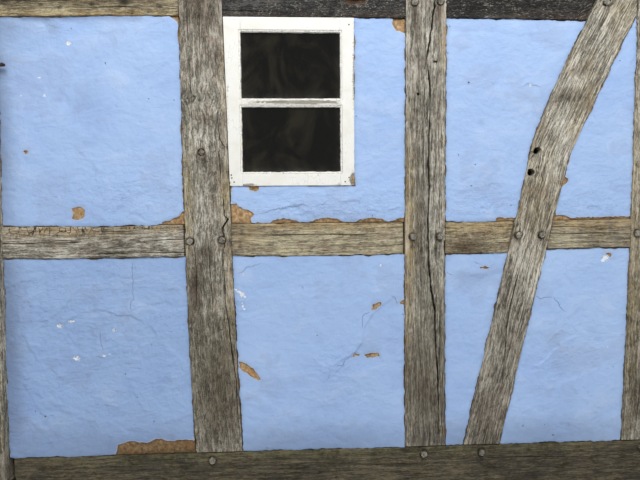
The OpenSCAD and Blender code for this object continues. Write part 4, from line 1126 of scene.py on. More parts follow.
def carve_pegs(places, name, seed, nodes=(), darkening=0.12):
    rng = np.random.default_rng(seed)
    points, faces, grain, stain, silver = [], [], [], [], []
    for x, z, head, tail, radius in places:
        turn = rng.uniform(0, math.pi)
        lean = rng.uniform(-0.10, 0.10, 2)
        corners = rng.uniform(0.02, 0.09)
        lobes = rng.uniform(-0.05, 0.05, PEG_SIDES)
        tilt = rng.uniform(-0.22, 0.22, 2)
        rows = [(head + d, r) for d, r in PEG_HEAD] + [(tail + d, r) for d, r in PEG_TAIL]
        starts = []
        for row, (y, r) in enumerate(rows):
            starts.append(len(points))
            for j in range(PEG_SIDES if r else 1):
                q = 2 * math.pi * j / PEG_SIDES
                size = radius * r * (1 + corners * math.cos(4 * (q + turn)) * min(1, r) + lobes[j]) * 0.97
                dx, dz = size * math.cos(q), size * math.sin(q)
                shift = 0.0
                if row < 4:
                    shift = tilt[0] * dx + tilt[1] * dz + abs(tilt).sum() * radius * 0.6
                    shift += 0.0006 * float(noise([dx * 240, dz * 240, x * 50], seed))
                far = min(0.0, y - Y_OUT)
                points.append((x + dx + lean[0] * far, y + max(shift, 0.0), z + dz + lean[1] * far))
                grain.append((dx + x * 3, dz + z * 2, y))
                stain.append(0.9 if 0.9 < r and row < 6 else darkening)
                silver.append(1.0 if row < 4 and darkening < 0.5 else 0.3)
        faces += [(j, k, starts[0]) for j, k, _, _ in ring_faces(starts[1], 0, PEG_SIDES)]
        for first, second in zip(starts[1:-2], starts[2:-1]):
            faces += turned(ring_faces(first, second, PEG_SIDES))
        faces += [(k, j, starts[-1]) for j, k, _, _ in ring_faces(starts[-2], 0, PEG_SIDES)]
    zeros = np.zeros(len(points))
    make_piece(name, points, faces, OAK_GREY, nodes, {
        "grain": grain, "stain": stain, "silver": silver,
        "ochre": zeros, "hole": zeros, "moss": zeros, "crackle": zeros}, angle=50)


for i, (node, places) in enumerate(PEGS.items()):
    carve_pegs(places, "carved_" + node, 60 + i, [node], darkening=0.28)
carve_pegs([OLD_PEG], "old_peg", 66, darkening=0.85)


# Plaster panels: the field is positive inside, and its zero line is the edge
class Field:
    """Values on a grid over the wall's face, which starts at x0, z0."""

    def __init__(self, values, x0, z0, cell):
        self.values, self.x0, self.z0, self.cell = values, x0, z0, cell

    def at(self, x, z):
        """The value at any place."""
        fx = np.clip((x - self.x0) / self.cell, 0, self.values.shape[1] - 1.001)
        fz = np.clip((z - self.z0) / self.cell, 0, self.values.shape[0] - 1.001)
        i, j = fz.astype(int), fx.astype(int)
        u, v = fx - j, fz - i
        return ((self.values[i, j] * (1 - u) + self.values[i, j + 1] * u) * (1 - v)
                + (self.values[i + 1, j] * (1 - u) + self.values[i + 1, j + 1] * u) * v)

    def inner(self, x, z, also=True):
        """Those of the places that lie well inside."""
        inside = (self.at(x, z) > 1.5 * self.cell) & also
        return list(zip(x[inside], z[inside]))

    def spread(self, skip, near, far=np.inf):
        """Grid places, every skip-th, where the value lies between so many cells."""
        inside = (self.values > near * self.cell) & (self.values < far * self.cell)
        rows, cols = np.nonzero(inside)
        keep = (rows % skip == 0) & (cols % skip == 0)
        rows, cols = rows[keep], cols[keep]
        shift = 0.3 * self.cell * skip
        key = np.stack([cols * 1.37, rows * 0.0, rows * 1.91], -1)
        return list(zip(self.x0 + self.cell * cols + shift * noise(key, 5),
                        self.z0 + self.cell * rows + shift * noise(key, 6)))

    def edge(self):
        """Points on the zero line and the pairs of them that it joins."""
        values = self.values
        points, index, pairs = [], {}, []

        def crossing(i0, j0, i1, j1):
            key = (i0, j0, i1, j1)
            if key not in index:
                a, b = values[i0, j0], values[i1, j1]
                q = min(max(a / (a - b), 0.12), 0.88)
                index[key] = len(points)
                points.append((self.x0 + self.cell * (j0 + (j1 - j0) * q),
                               self.z0 + self.cell * (i0 + (i1 - i0) * q)))
            return index[key]

        sign = values > 0
        corner = sign[:-1, :-1]
        mixed = (corner != sign[1:, :-1]) | (corner != sign[:-1, 1:]) | (corner != sign[1:, 1:])
        for i, j in zip(*np.nonzero(mixed)):
            around = [(i, j, i, j + 1), (i, j + 1, i + 1, j + 1), (i + 1, j, i + 1, j + 1), (i, j, i + 1, j)]
            cut = [crossing(*e) for e in around if sign[e[0], e[1]] != sign[e[2], e[3]]]
            pairs += zip(cut[::2], cut[1::2])
        return points, pairs

    def triangles(self, points, pairs):
        """Triangles between the points, counterclockwise, kept where they lie inside."""
        result = geometry.delaunay_2d_cdt([tuple(map(float, p)) for p in points], pairs, [], 0, 1e-6)
        verts = np.array([tuple(v) for v in result[0]])
        tris = np.array([f for f in result[2] if len(f) == 3])
        middle = verts[tris].mean(1)
        tris = tris[self.at(middle[:, 0], middle[:, 1]) > 0]
        a, b, c = (verts[tris[:, k]] for k in range(3))
        turned = (b[:, 0] - a[:, 0]) * (c[:, 1] - a[:, 1]) < (c[:, 0] - a[:, 0]) * (b[:, 1] - a[:, 1])
        tris[turned] = tris[turned][:, ::-1]
        used = np.unique(tris)
        renumber = np.full(len(verts), -1)
        renumber[used] = np.arange(len(used))
        return verts[used], renumber[tris]


def distance_in(loops, x, z):
    """Distance to the loops, positive inside them."""
    best = np.full(x.shape, np.inf)
    inside = np.zeros(x.shape, bool)
    for loop in loops:
        for (ax, az), (bx, bz) in zip(loop, np.roll(loop, -1, axis=0)):
            dx, dz = bx - ax, bz - az
            size = dx * dx + dz * dz
            if size < 1e-12:
                continue
            q = np.clip(((x - ax) * dx + (z - az) * dz) / size, 0, 1)
            best = np.minimum(best, np.hypot(x - ax - q * dx, z - az - q * dz))
            if az != bz:
                crosses = (az > z) != (bz > z)
                inside ^= crosses & (x < ax + (z - az) * dx / dz)
    return np.where(inside, best, -best)


def sweeps(lo, hi, seed, amount):
    """Strokes of the trowel: place, direction, length, bend, step and reach of each."""
    rng = np.random.default_rng(seed)
    count = round((hi[0] - lo[0]) * (hi[1] - lo[1]) * 22 * amount) + 3
    strokes = []
    for _ in range(count):
        turn = rng.choice([rng.normal(0.1, 0.35), rng.normal(-0.9, 0.3)], p=[0.65, 0.35])
        strokes.append((rng.uniform(lo[0], hi[0]), rng.uniform(lo[1], hi[1]), turn, rng.uniform(0.10, 0.42),
                        rng.uniform(-1.8, 1.8), rng.uniform(0.5, 1.8) * 0.001 * rng.choice([-1, 1]),
                        rng.uniform(0.03, 0.12)))
    return strokes


def stroke_edge(u, sx, sz, bend):
    """How far the edge of a stroke is off its straight line at each way u along it."""
    line = on_line(u / 0.05, sx * 9, sz * 7)
    return bend * u * u + 0.005 * noise(line, 3) + 0.0015 * noise(line * 4, 4)


def ledge(v, soft, reach):
    """A step up at the line v = 0, and its fall back over the reach."""
    return 1 / (1 + np.exp(-np.clip(v / soft, -30, 30))) * np.exp(-np.clip(v, 0, 9) / reach)


def trowel(x, z, seed, strokes, amount):
    """Relief that the trowel left, in metres; positive stands out."""
    wide = layered(flat(x, z, 0.22, 0.18), seed, 3)
    lumps = layered(flat(x, z, 0.045), seed + 4, 2)
    height = 0.0030 * wide + 0.00045 * lumps * amount
    for sx, sz, turn, size, bend, step, reach in strokes:
        u = (x - sx) * math.cos(turn) + (z - sz) * math.sin(turn)
        v = (z - sz) * math.cos(turn) - (x - sx) * math.sin(turn) - stroke_edge(u, sx, sz, bend)
        fade = np.clip(1 - (2 * u / size) ** 2, 0, 1)
        height = height + amount * step * fade * ledge(v, 0.0022, reach)
    return height


def stroke_points(strokes, field):
    """Two rows of points beside each stroke's edge, so that it stays crisp."""
    found = []
    for sx, sz, turn, size, bend, *_ in strokes:
        u = np.arange(-size / 2, size / 2, 0.007)
        for off in (-0.0035, 0.0035):
            v = stroke_edge(u, sx, sz, bend) + off
            found += field.inner(sx + u * math.cos(turn) - v * math.sin(turn),
                                 sz + u * math.sin(turn) + v * math.cos(turn))
    return found


def ridge_offset(along, number):
    line = on_line(along / 0.024, 0, number * 3.7)
    return 0.0030 * noise(line, 51) + 0.0014 * noise(line * 3.1, 52)


def ridge_height(ridges, x, z):
    """Edges of the plaster's layers: the left side of each route stands out, and falls away from it."""
    height = np.zeros_like(x)
    for number, (route, step, reach) in enumerate(ridges):
        distance, aside, along, size = nearest_on(route, x, z)
        v = np.where(aside < 0, distance, -distance) - ridge_offset(along, number)
        ends = np.clip(np.minimum(along, size - along) / 0.035, 0, 1) ** 0.7
        uneven = np.clip(0.65 + 0.9 * noise(on_line(along / 0.05, 0, number), 53), 0, 2)
        height = height + 1.3 * step * ends * ledge(v, 0.0020, reach) * uneven
    return height


def ways_on(route):
    """The route's points, and the way along it up to each."""
    route = np.array(route, float)
    return route, np.concatenate([[0], np.cumsum(np.hypot(*np.diff(route, axis=0).T))])


def across_line(x, z):
    """Direction to the left of a line of points, at each of them."""
    dx, dz = np.gradient(x), np.gradient(z)
    norm = np.hypot(dx, dz) + 1e-9
    return -dz / norm, dx / norm


def ridge_points(ridges, field):
    """Rows of points on both sides of each ridge."""
    found = []
    for number, (route, *_) in enumerate(ridges):
        route, at = ways_on(route)
        ways = np.arange(0, at[-1], 0.0045)
        x, z = np.interp(ways, at, route[:, 0]), np.interp(ways, at, route[:, 1])
        nx, nz = across_line(x, z)
        middle = ridge_offset(ways, number)
        for off in (-0.0055, -0.0022, 0.0, 0.0022, 0.0055):
            found += field.inner(x + nx * (middle + off), z + nz * (middle + off))
    return found


def disc_points(flakes, field):
    """Closer points where the skin has flaked off."""
    found = []
    for fx, fz, rx, rz, _ in flakes:
        reach = max(rx, rz) * 1.7
        steps = np.arange(-reach, reach, 0.0026)
        gx, gz = np.meshgrid(fx + steps, fz + steps)
        gx = gx + 0.0006 * noise(flat(gx, gz, 0.004), 61)
        found += field.inner(gx, gz, np.hypot(gx - fx, gz - fz) < reach)
    return found


def groove_points(grooves, field, first, seed):
    """Thin cracks: three rows of points along each, of which the middle one is sunk."""
    points, pairs, sunk = [], [], []
    for g, (route, wide, deep) in enumerate(grooves):
        route, at = ways_on(route)
        ways = np.linspace(0, at[-1], max(4, round(at[-1] / 0.006)))
        x, z = np.interp(ways, at, route[:, 0]), np.interp(ways, at, route[:, 1])
        wobble = noise(on_line(ways / 0.018, 0, g), seed + g) * 0.004
        wobble = wobble + noise(on_line(ways / 0.006, 0, g), seed + g) * 0.0015
        nx, nz = across_line(x, z)
        x, z = x + nx * wobble, z + nz * wobble
        taper = np.clip(np.minimum(ways, at[-1] - ways) / 0.02, 0.25, 1)
        clear = field.at(x, z) > 2 * field.cell
        for side in (-1, 0, 1):
            half = wide / 2 * side * taper
            last = None
            for i in range(len(x)):
                if not clear[i]:
                    last = None
                    continue
                points.append((x[i] + nx[i] * half[i], z[i] + nz[i] * half[i]))
                sunk.append(deep * taper[i] if side == 0 else 0.0)
                if last is not None:
                    pairs.append((first + last, first + len(points) - 1))
                last = len(points) - 1
    return points, pairs, sunk


def key_of(point):
    return round(float(point[0]), 5), round(float(point[1]), 5)


def slab(name, node, side, material, seed, face_y, back_y, loops, inset, ragged, chips=(), grooves=(),
         cell=0.004, skip=4, rough=0.0, rough_near=None, grime_and_shade=(), waves_seed=0, amount=1.0,
         thickness=None, ridges=(), flakes=(), rugged=(), deep=0.0):
    """A coat of plaster: its ragged outline, waved face and edges, and a plainer back."""
    lo, hi = np.vstack(loops).min(0), np.vstack(loops).max(0)
    x0, z0 = lo - 3 * cell
    gx, gz = np.meshgrid(np.arange(x0, hi[0] + 3 * cell, cell), np.arange(z0, hi[1] + 3 * cell, cell))

    def on_grid(values):
        return Field(values, x0, z0, cell)

    away = distance_in(loops, gx, gz)
    chew = layered(flat(gx, gz, 0.045), seed, 3)
    nibble = noise(flat(gx, gz, 0.010), seed + 9)
    values = away - inset - ragged * np.clip(0.35 + chew * 1.3, 0, 2) - ragged * 0.35 * nibble
    chipped = np.full(gx.shape, -1.0)
    for chip in chips:
        chipped = np.maximum(chipped, distance_in([np.array(chip)], gx, gz))
    if len(chips):
        values = np.minimum(values, -chipped + 0.0030 * nibble + 0.0035 * chew)
    field = on_grid(values)
    edge, pairs = field.edge()
    strokes = sweeps(lo, hi, waves_seed, amount)
    points = edge + field.spread(1, 0.8, 1.6) + field.spread(min(2, skip), 1.6, 4) + field.spread(skip, 4)
    if rough_near is None:
        points += stroke_points(strokes, field) + ridge_points(ridges, field) + disc_points(flakes, field)
    else:
        near = np.full(gx.shape, -9.0)
        for chip in rough_near:
            near = np.maximum(near, distance_in([np.array(chip)], gx, gz) + 0.010)
        points += on_grid(np.where((near > 0) & (values > 0.8 * cell), 1.0, -1.0)).spread(1, 0)
    more, more_pairs, sunk = groove_points(grooves, field, len(points), seed)
    depth_at = {key_of(p): d for p, d in zip(more, sunk) if d > 0}
    front_xz, front_tris = field.triangles(points + more, pairs + more_pairs)
    back_xz, back_tris = field.triangles(edge + field.spread(8, 2), pairs)

    def lie(x, z):
        inwards = on_grid(away).at(x, z)
        height = trowel(x, z, waves_seed, strokes, amount) + ridge_height(ridges, x, z)
        height = height - 0.0018 * np.exp(-np.clip(inwards, 0, 1) / 0.010)
        return np.clip(height, -0.006, 0.0030 + 0.0045 * np.clip(inwards / 0.05, 0, 1))

    x, z = front_xz.T
    low = np.array([depth_at.get(key_of(p), 0.0) for p in front_xz])
    inside = np.clip(field.at(x, z), 0, 1)
    rag = rough * (layered(flat(x, z, 0.011), seed + 3, 3) - 0.6)
    curl = 0.0006 * np.exp(-inside / 0.004)
    lost = blobs(x, z, flakes, seed + 8)
    skin = 0.0007 * np.clip(lost * 2 - 0.5, 0, 1)
    y_face = face_y + side * (lie(x, z) + rag - curl - low - skin)
    y_back = face_y + side * (lie(*back_xz.T) - thickness) if thickness else np.full(len(back_xz), back_y)
    n = len(front_xz)
    flip = slice(None, None, 1 if side < 0 else -1)
    faces = [tuple(int(v) for v in tri)[flip] for tri in front_tris]
    faces += [tuple(int(v) + n for v in tri)[::-1][flip] for tri in back_tris]
    behind = {key_of(p): n + i for i, p in enumerate(back_xz)}
    used = {(int(tri[k]), int(tri[(k + 1) % 3])) for tri in front_tris for k in range(3)}
    for a, b in sorted(used):
        if (b, a) not in used:
            back_a, back_b = behind.get(key_of(front_xz[a])), behind.get(key_of(front_xz[b]))
            if back_a is not None and back_b is not None:
                faces.append((a, back_a, back_b, b)[flip])
    # The coat is darkened within a few mm of its edge, painted shade where it meets the timbers, and in its
    # cracks by their depth, painted shade too.
    shades = {"grime_and_shade": np.maximum(blobs(x, z, grime_and_shade, seed + 6), 0.35 * np.exp(-inside / 0.006)),
              "rim": np.exp(-inside / 0.0025) * (on_grid(chipped).at(x, z) > -0.02),
              "bare": lost, "crack": np.clip(low / 0.001, 0, 1), "rugged": blobs(x, z, rugged, seed + 10)}
    attributes = {key: np.pad(shade, (0, len(back_xz))) for key, shade in shades.items()}
    attributes["deep"] = np.full(n + len(back_xz), deep)
    points = np.vstack([np.stack([x, y_face, z], -1), np.stack([back_xz[:, 0], y_back, back_xz[:, 1]], -1)])
    make_piece(name, points, faces, material, [node], attributes)


# Outlines of the chips in the blue coat
FRONT_CHIPS = {
    "plaster_upper_left": [
        [(-1.226, 1.487), (-1.215, 1.476), (-1.209, 1.480), (-1.204, 1.495), (-1.213, 1.491)],
        [(-1.046, 1.252), (-1.034, 1.258), (-1.024, 1.251), (-1.010, 1.255), (-1.004, 1.242), (-0.996, 1.230),
         (-1.003, 1.210), (-1.024, 1.205), (-1.044, 1.211), (-1.039, 1.232)],
        [(-0.646, 2.045), (-0.642, 2.035), (-0.614, 2.022), (-0.594, 2.004), (-0.586, 1.990), (-0.56, 1.99),
         (-0.56, 2.045)],
    ],
    "plaster_round_window": [
        [(-0.318, 1.345), (-0.316, 1.326), (-0.296, 1.318), (-0.279, 1.322), (-0.276, 1.345)],
        [(-0.400, 1.345), (-0.385, 1.338), (-0.388, 1.318), (-0.402, 1.310)],
        [(-0.285, 1.188), (-0.240, 1.181), (-0.215, 1.195), (-0.180, 1.203), (-0.130, 1.198), (-0.100, 1.184),
         (-0.070, 1.186), (-0.035, 1.201), (0.005, 1.207), (0.050, 1.200), (0.080, 1.186), (0.118, 1.184),
         (0.150, 1.197), (0.195, 1.205), (0.240, 1.199), (0.268, 1.187), (0.300, 1.196), (0.35, 1.208),
         (0.35, 1.150), (-0.285, 1.150)],
        [(-0.402, 1.262), (-0.371, 1.268), (-0.362, 1.258), (-0.342, 1.243), (-0.306, 1.234), (-0.296, 1.222),
         (-0.318, 1.200), (-0.34, 1.21), (-0.402, 1.21)],
        [(0.348, 2.040), (0.284, 2.040), (0.284, 2.000), (0.300, 1.978), (0.348, 1.970)],
    ],
    "plaster_upper_brace_left": [
        [(0.731, 1.180), (0.733, 1.197), (0.748, 1.201), (0.775, 1.195), (0.800, 1.200), (0.826, 1.194),
         (0.828, 1.180)],
    ],
    "plaster_upper_brace_right": [
        [(0.975, 1.150), (0.982, 1.206), (1.003, 1.211), (1.030, 1.207), (1.060, 1.197), (1.120, 1.200),
         (1.20, 1.196), (1.27, 1.201), (1.33, 1.199), (1.33, 1.150)],
        [(1.000, 1.405), (1.022, 1.418), (1.040, 1.446), (1.028, 1.462), (0.985, 1.400)],
        [(0.990, 1.328), (1.024, 1.332), (1.047, 1.350), (1.048, 1.363), (1.030, 1.372), (1.014, 1.392),
         (0.980, 1.380)],
    ],
    "plaster_lower_brace_right": [
        [(1.216, 1.040), (1.240, 1.041), (1.250, 1.033), (1.243, 1.021), (1.236, 1.028), (1.227, 1.035)],
    ],
    "plaster_lower_brace_left": [
        [(0.668, 0.985), (0.690, 0.992), (0.712, 0.983), (0.690, 0.980)],
    ],
    "plaster_lower_window": [
        [(-0.372, 0.598), (-0.342, 0.586), (-0.314, 0.566), (-0.286, 0.536), (-0.272, 0.508), (-0.296, 0.513),
         (-0.336, 0.541), (-0.368, 0.568)],
        [(0.194, 0.807), (0.202, 0.832), (0.228, 0.844), (0.242, 0.842), (0.238, 0.826), (0.214, 0.809)],
        [(0.316, 0.834), (0.330, 0.848), (0.350, 0.852), (0.350, 0.830)],
        [(0.112, 0.605), (0.126, 0.622), (0.146, 0.613), (0.130, 0.609)],
        [(0.164, 0.614), (0.190, 0.622), (0.226, 0.617), (0.230, 0.608), (0.206, 0.602), (0.180, 0.602)],
    ],
    "plaster_lower_left": [
        [(-0.905, 0.190), (-0.890, 0.245), (-0.84, 0.262), (-0.78, 0.252), (-0.72, 0.268), (-0.66, 0.256),
         (-0.60, 0.262), (-0.55, 0.250), (-0.55, 0.190)],
    ],
}
# Corners where the coat is broken away down to the daub
CORNERS = [np.array(c) for c in (
    [(-0.70, 1.17), (-0.70, 1.26), (-0.57, 1.26), (-0.57, 1.17)],
    [(-0.42, 1.17), (-0.42, 1.28), (-0.28, 1.28), (-0.28, 1.17)],
    [(0.27, 1.95), (0.27, 2.04), (0.36, 2.04), (0.36, 1.95)])]
# Thin cracks in the coat: route, width, depth
CRACK_LINES = {
    "plaster_lower_window": [
        ([(0.196, 0.806), (0.173, 0.794), (0.160, 0.778), (0.160, 0.724)], 0.0030, 0.0020),
        ([(0.145, 0.612), (0.166, 0.609)], 0.003, 0.002),
        ([(0.110, 0.606), (0.086, 0.595), (0.070, 0.572), (0.054, 0.574), (0.040, 0.556)], 0.0035, 0.0022),
        ([(0.016, 0.540), (0.008, 0.516), (-0.004, 0.500)], 0.0032, 0.0018),
        ([(0.328, 0.836), (0.311, 0.832), (0.296, 0.862), (0.276, 0.874)], 0.0030, 0.0016),
        ([(-0.378, 0.972), (-0.350, 0.984), (-0.326, 1.001), (-0.298, 1.005), (-0.268, 1.022)],
         0.0030, 0.0016),
    ],
    "plaster_round_window": [
        ([(-0.262, 1.229), (-0.214, 1.240), (-0.142, 1.254), (-0.096, 1.261)], 0.0034, 0.0022),
        ([(-0.040, 1.250), (-0.012, 1.261), (0.010, 1.273)], 0.0034, 0.0020),
    ],
    "plaster_lower_brace_left": [
        ([(0.517, 0.975), (0.540, 0.957), (0.552, 0.950)], 0.004, 0.002),
        ([(0.590, 0.972), (0.600, 0.984), (0.616, 0.990)], 0.0028, 0.0014),
        ([(0.632, 1.020), (0.650, 1.005), (0.672, 0.998)], 0.0028, 0.0014),
    ],
    "plaster_lower_brace_right": [
        ([(0.885, 0.870), (0.906, 0.858), (0.945, 0.846), (0.990, 0.850), (1.016, 0.820), (1.046, 0.786)],
         0.0032, 0.0022),
    ],
    "plaster_upper_brace_left": [
        ([(0.838, 1.748), (0.858, 1.762), (0.888, 1.758), (0.912, 1.744)], 0.0026, 0.0014),
    ],
    "plaster_lower_left": [
        ([(-0.943, 0.752), (-0.946, 0.700), (-0.938, 0.650)], 0.0026, 0.0014),
        ([(-0.806, 1.035), (-0.804, 0.985), (-0.808, 0.945), (-0.804, 0.885), (-0.820, 0.850),
          (-0.812, 0.818)], 0.0026, 0.0014),
        ([(-0.804, 0.734), (-0.788, 0.735), (-0.772, 0.728)], 0.0030, 0.0016),
        ([(-1.275, 0.568), (-1.262, 0.540), (-1.235, 0.546)], 0.0034, 0.0018),
    ],
}
# Edges of the plaster's layers: the left side of each route stands out by the step, over the reach
RIDGES = {
    "plaster_lower_left": [
        ([(-1.310, 0.785), (-1.230, 0.787), (-1.170, 0.786), (-1.130, 0.802), (-1.078, 0.856),
          (-1.044, 0.898), (-0.993, 0.947), (-0.947, 0.976), (-0.886, 0.975), (-0.817, 0.962),
          (-0.734, 0.969)], 0.0021, 0.10),
        ([(-1.120, 0.747), (-1.056, 0.801), (-0.973, 0.829), (-0.916, 0.828), (-0.876, 0.802),
          (-0.834, 0.806), (-0.810, 0.797), (-0.773, 0.775), (-0.732, 0.753), (-0.717, 0.727),
          (-0.718, 0.680)], 0.0028, 0.05),
        ([(-1.070, 0.560), (-1.035, 0.618), (-0.993, 0.630), (-0.931, 0.626), (-0.848, 0.644),
          (-0.785, 0.664)], 0.0022, 0.05),
        ([(-0.752, 0.672), (-0.730, 0.668), (-0.705, 0.676)], 0.0020, 0.02),
        ([(-1.262, 0.950), (-1.285, 0.850), (-1.268, 0.740), (-1.225, 0.650), (-1.185, 0.590)], 0.0022, 0.03),
        ([(-1.240, 0.700), (-1.199, 0.625), (-1.145, 0.575), (-1.09, 0.52)], 0.0020, 0.03),
        ([(-1.30, 0.60), (-1.25, 0.50), (-1.18, 0.45)], 0.0018, 0.04),
        ([(-0.77, 0.63), (-0.72, 0.58), (-0.66, 0.585), (-0.61, 0.62)], 0.0016, 0.05),
        ([(-1.28, 0.985), (-1.20, 1.00), (-1.11, 0.985), (-1.05, 0.995)], 0.0014, 0.06),
        ([(-0.74, 0.93), (-0.69, 0.90), (-0.64, 0.915), (-0.60, 0.90)], 0.0015, 0.05),
        ([(-0.79, 0.865), (-0.73, 0.845), (-0.67, 0.86), (-0.62, 0.845)], 0.0014, 0.05),
        ([(-1.19, 0.42), (-1.08, 0.39), (-0.97, 0.43), (-0.86, 0.40)], 0.0018, 0.06),
    ],
    "plaster_upper_left": [
        ([(-1.110, 1.524), (-1.027, 1.515), (-0.989, 1.471), (-0.954, 1.438), (-0.939, 1.402),
          (-0.941, 1.349)], 0.0011, 0.08),
        ([(-0.930, 1.962), (-0.879, 1.956), (-0.807, 1.976)], 0.0012, 0.03),
        ([(-0.747, 1.864), (-0.702, 1.888), (-0.650, 1.896), (-0.613, 1.920)], 0.0011, 0.03),
        ([(-0.690, 1.366), (-0.662, 1.339), (-0.624, 1.318)], 0.0015, 0.02),
        ([(-1.044, 1.296), (-1.030, 1.278), (-1.008, 1.266)], 0.0015, 0.02),
        ([(-0.928, 1.287), (-0.879, 1.299), (-0.826, 1.286), (-0.773, 1.306), (-0.715, 1.331),
          (-0.675, 1.318)], 0.0017, 0.03),
        ([(-0.935, 1.410), (-0.883, 1.405), (-0.802, 1.409)], 0.0010, 0.03),
        ([(-0.90, 1.235), (-0.83, 1.245), (-0.77, 1.228), (-0.70, 1.25)], 0.0016, 0.03),
        ([(-0.83, 1.352), (-0.77, 1.366), (-0.71, 1.395)], 0.0013, 0.03),
        ([(-1.19, 1.62), (-1.11, 1.635), (-1.05, 1.622)], 0.0009, 0.04),
    ],
    "plaster_round_window": [
        ([(-0.310, 1.222), (-0.262, 1.229), (-0.214, 1.240), (-0.142, 1.254), (-0.096, 1.261),
          (-0.05, 1.256)], 0.0026, 0.03),
        ([(-0.134, 1.218), (-0.084, 1.226), (-0.059, 1.235), (-0.038, 1.222), (0.0, 1.226), (0.030, 1.242)],
         0.0024, 0.02),
        ([(-0.050, 1.250), (-0.012, 1.261), (0.010, 1.273), (0.035, 1.276)], 0.0024, 0.02),
        ([(0.047, 1.261), (0.098, 1.275), (0.182, 1.276), (0.240, 1.270), (0.301, 1.262)], 0.0021, 0.025),
        ([(0.060, 1.226), (0.105, 1.222), (0.148, 1.233), (0.191, 1.237), (0.255, 1.228), (0.327, 1.252)],
         0.0022, 0.02),
        ([(0.259, 1.221), (0.301, 1.242), (0.327, 1.274)], 0.0020, 0.02),
        ([(-0.250, 1.212), (-0.205, 1.222), (-0.160, 1.214), (-0.10, 1.222)], 0.0020, 0.015),
        ([(0.150, 1.300), (0.210, 1.306), (0.270, 1.296)], 0.0013, 0.03),
        ([(-0.340, 1.290), (-0.270, 1.283), (-0.200, 1.292)], 0.0011, 0.03),
    ],
    "plaster_lower_window": [
        ([(-0.003, 0.505), (0.019, 0.551), (0.049, 0.577), (0.076, 0.600), (0.106, 0.613), (0.132, 0.631),
          (0.154, 0.665), (0.163, 0.716), (0.176, 0.751), (0.203, 0.790), (0.238, 0.823), (0.264, 0.840),
          (0.294, 0.861), (0.320, 0.872)], 0.0036, 0.030),
        ([(0.030, 0.520), (0.052, 0.552), (0.078, 0.572), (0.112, 0.590)], 0.0022, 0.015),
        ([(0.062, 0.530), (0.086, 0.556), (0.118, 0.572)], 0.0018, 0.015),
        ([(-0.378, 0.972), (-0.326, 1.001), (-0.267, 1.022), (-0.22, 1.028)], 0.0014, 0.05),
        ([(0.212, 0.947), (0.229, 0.943), (0.258, 0.940)], 0.0020, 0.015),
        ([(-0.02, 1.000), (0.04, 0.990), (0.10, 0.996)], 0.0010, 0.04),
        ([(-0.12, 0.42), (-0.04, 0.45), (0.03, 0.43)], 0.0012, 0.05),
        ([(-0.20, 0.93), (-0.10, 0.915), (0.0, 0.93), (0.09, 0.925)], 0.0008, 0.05),
    ],
    "plaster_lower_brace_left": [
        ([(0.522, 0.952), (0.575, 0.942), (0.63, 0.952), (0.690, 0.940)], 0.0012, 0.04),
        ([(0.700, 0.935), (0.686, 0.955), (0.668, 0.972)], 0.0016, 0.02),
    ],
    "plaster_lower_brace_right": [
        ([(1.100, 0.690), (1.060, 0.660), (1.025, 0.640), (0.985, 0.600), (0.945, 0.565), (0.905, 0.545)],
         0.0026, 0.03),
        ([(1.310, 0.745), (1.262, 0.728), (1.232, 0.748), (1.180, 0.756), (1.12, 0.738)], 0.0015, 0.03),
        ([(1.150, 0.655), (1.09, 0.615), (1.02, 0.585)], 0.0014, 0.03),
        ([(0.96, 0.62), (0.985, 0.665), (1.03, 0.700), (1.07, 0.69)], 0.0014, 0.03),
    ],
    "plaster_upper_brace_left": [
        ([(0.524, 1.314), (0.597, 1.318), (0.683, 1.335), (0.748, 1.347)], 0.0013, 0.05),
        ([(0.520, 1.276), (0.576, 1.263), (0.641, 1.284), (0.705, 1.292)], 0.0016, 0.03),
        ([(0.533, 1.238), (0.620, 1.229), (0.728, 1.254), (0.793, 1.274)], 0.0016, 0.025),
        ([(0.800, 1.745), (0.840, 1.752), (0.880, 1.764), (0.930, 1.742)], 0.0015, 0.03),
        ([(0.54, 1.90), (0.60, 1.915), (0.66, 1.905)], 0.0009, 0.04),
    ],
    "plaster_upper_brace_right": [
        ([(1.112, 1.603), (1.140, 1.600), (1.172, 1.604)], 0.0016, 0.02),
        ([(1.275, 1.760), (1.321, 1.758)], 0.0014, 0.02),
        ([(1.01, 1.255), (1.08, 1.232), (1.15, 1.245), (1.23, 1.240), (1.30, 1.262)], 0.0018, 0.025),
        ([(1.05, 1.285), (1.12, 1.300), (1.20, 1.290)], 0.0012, 0.03),
    ],
}
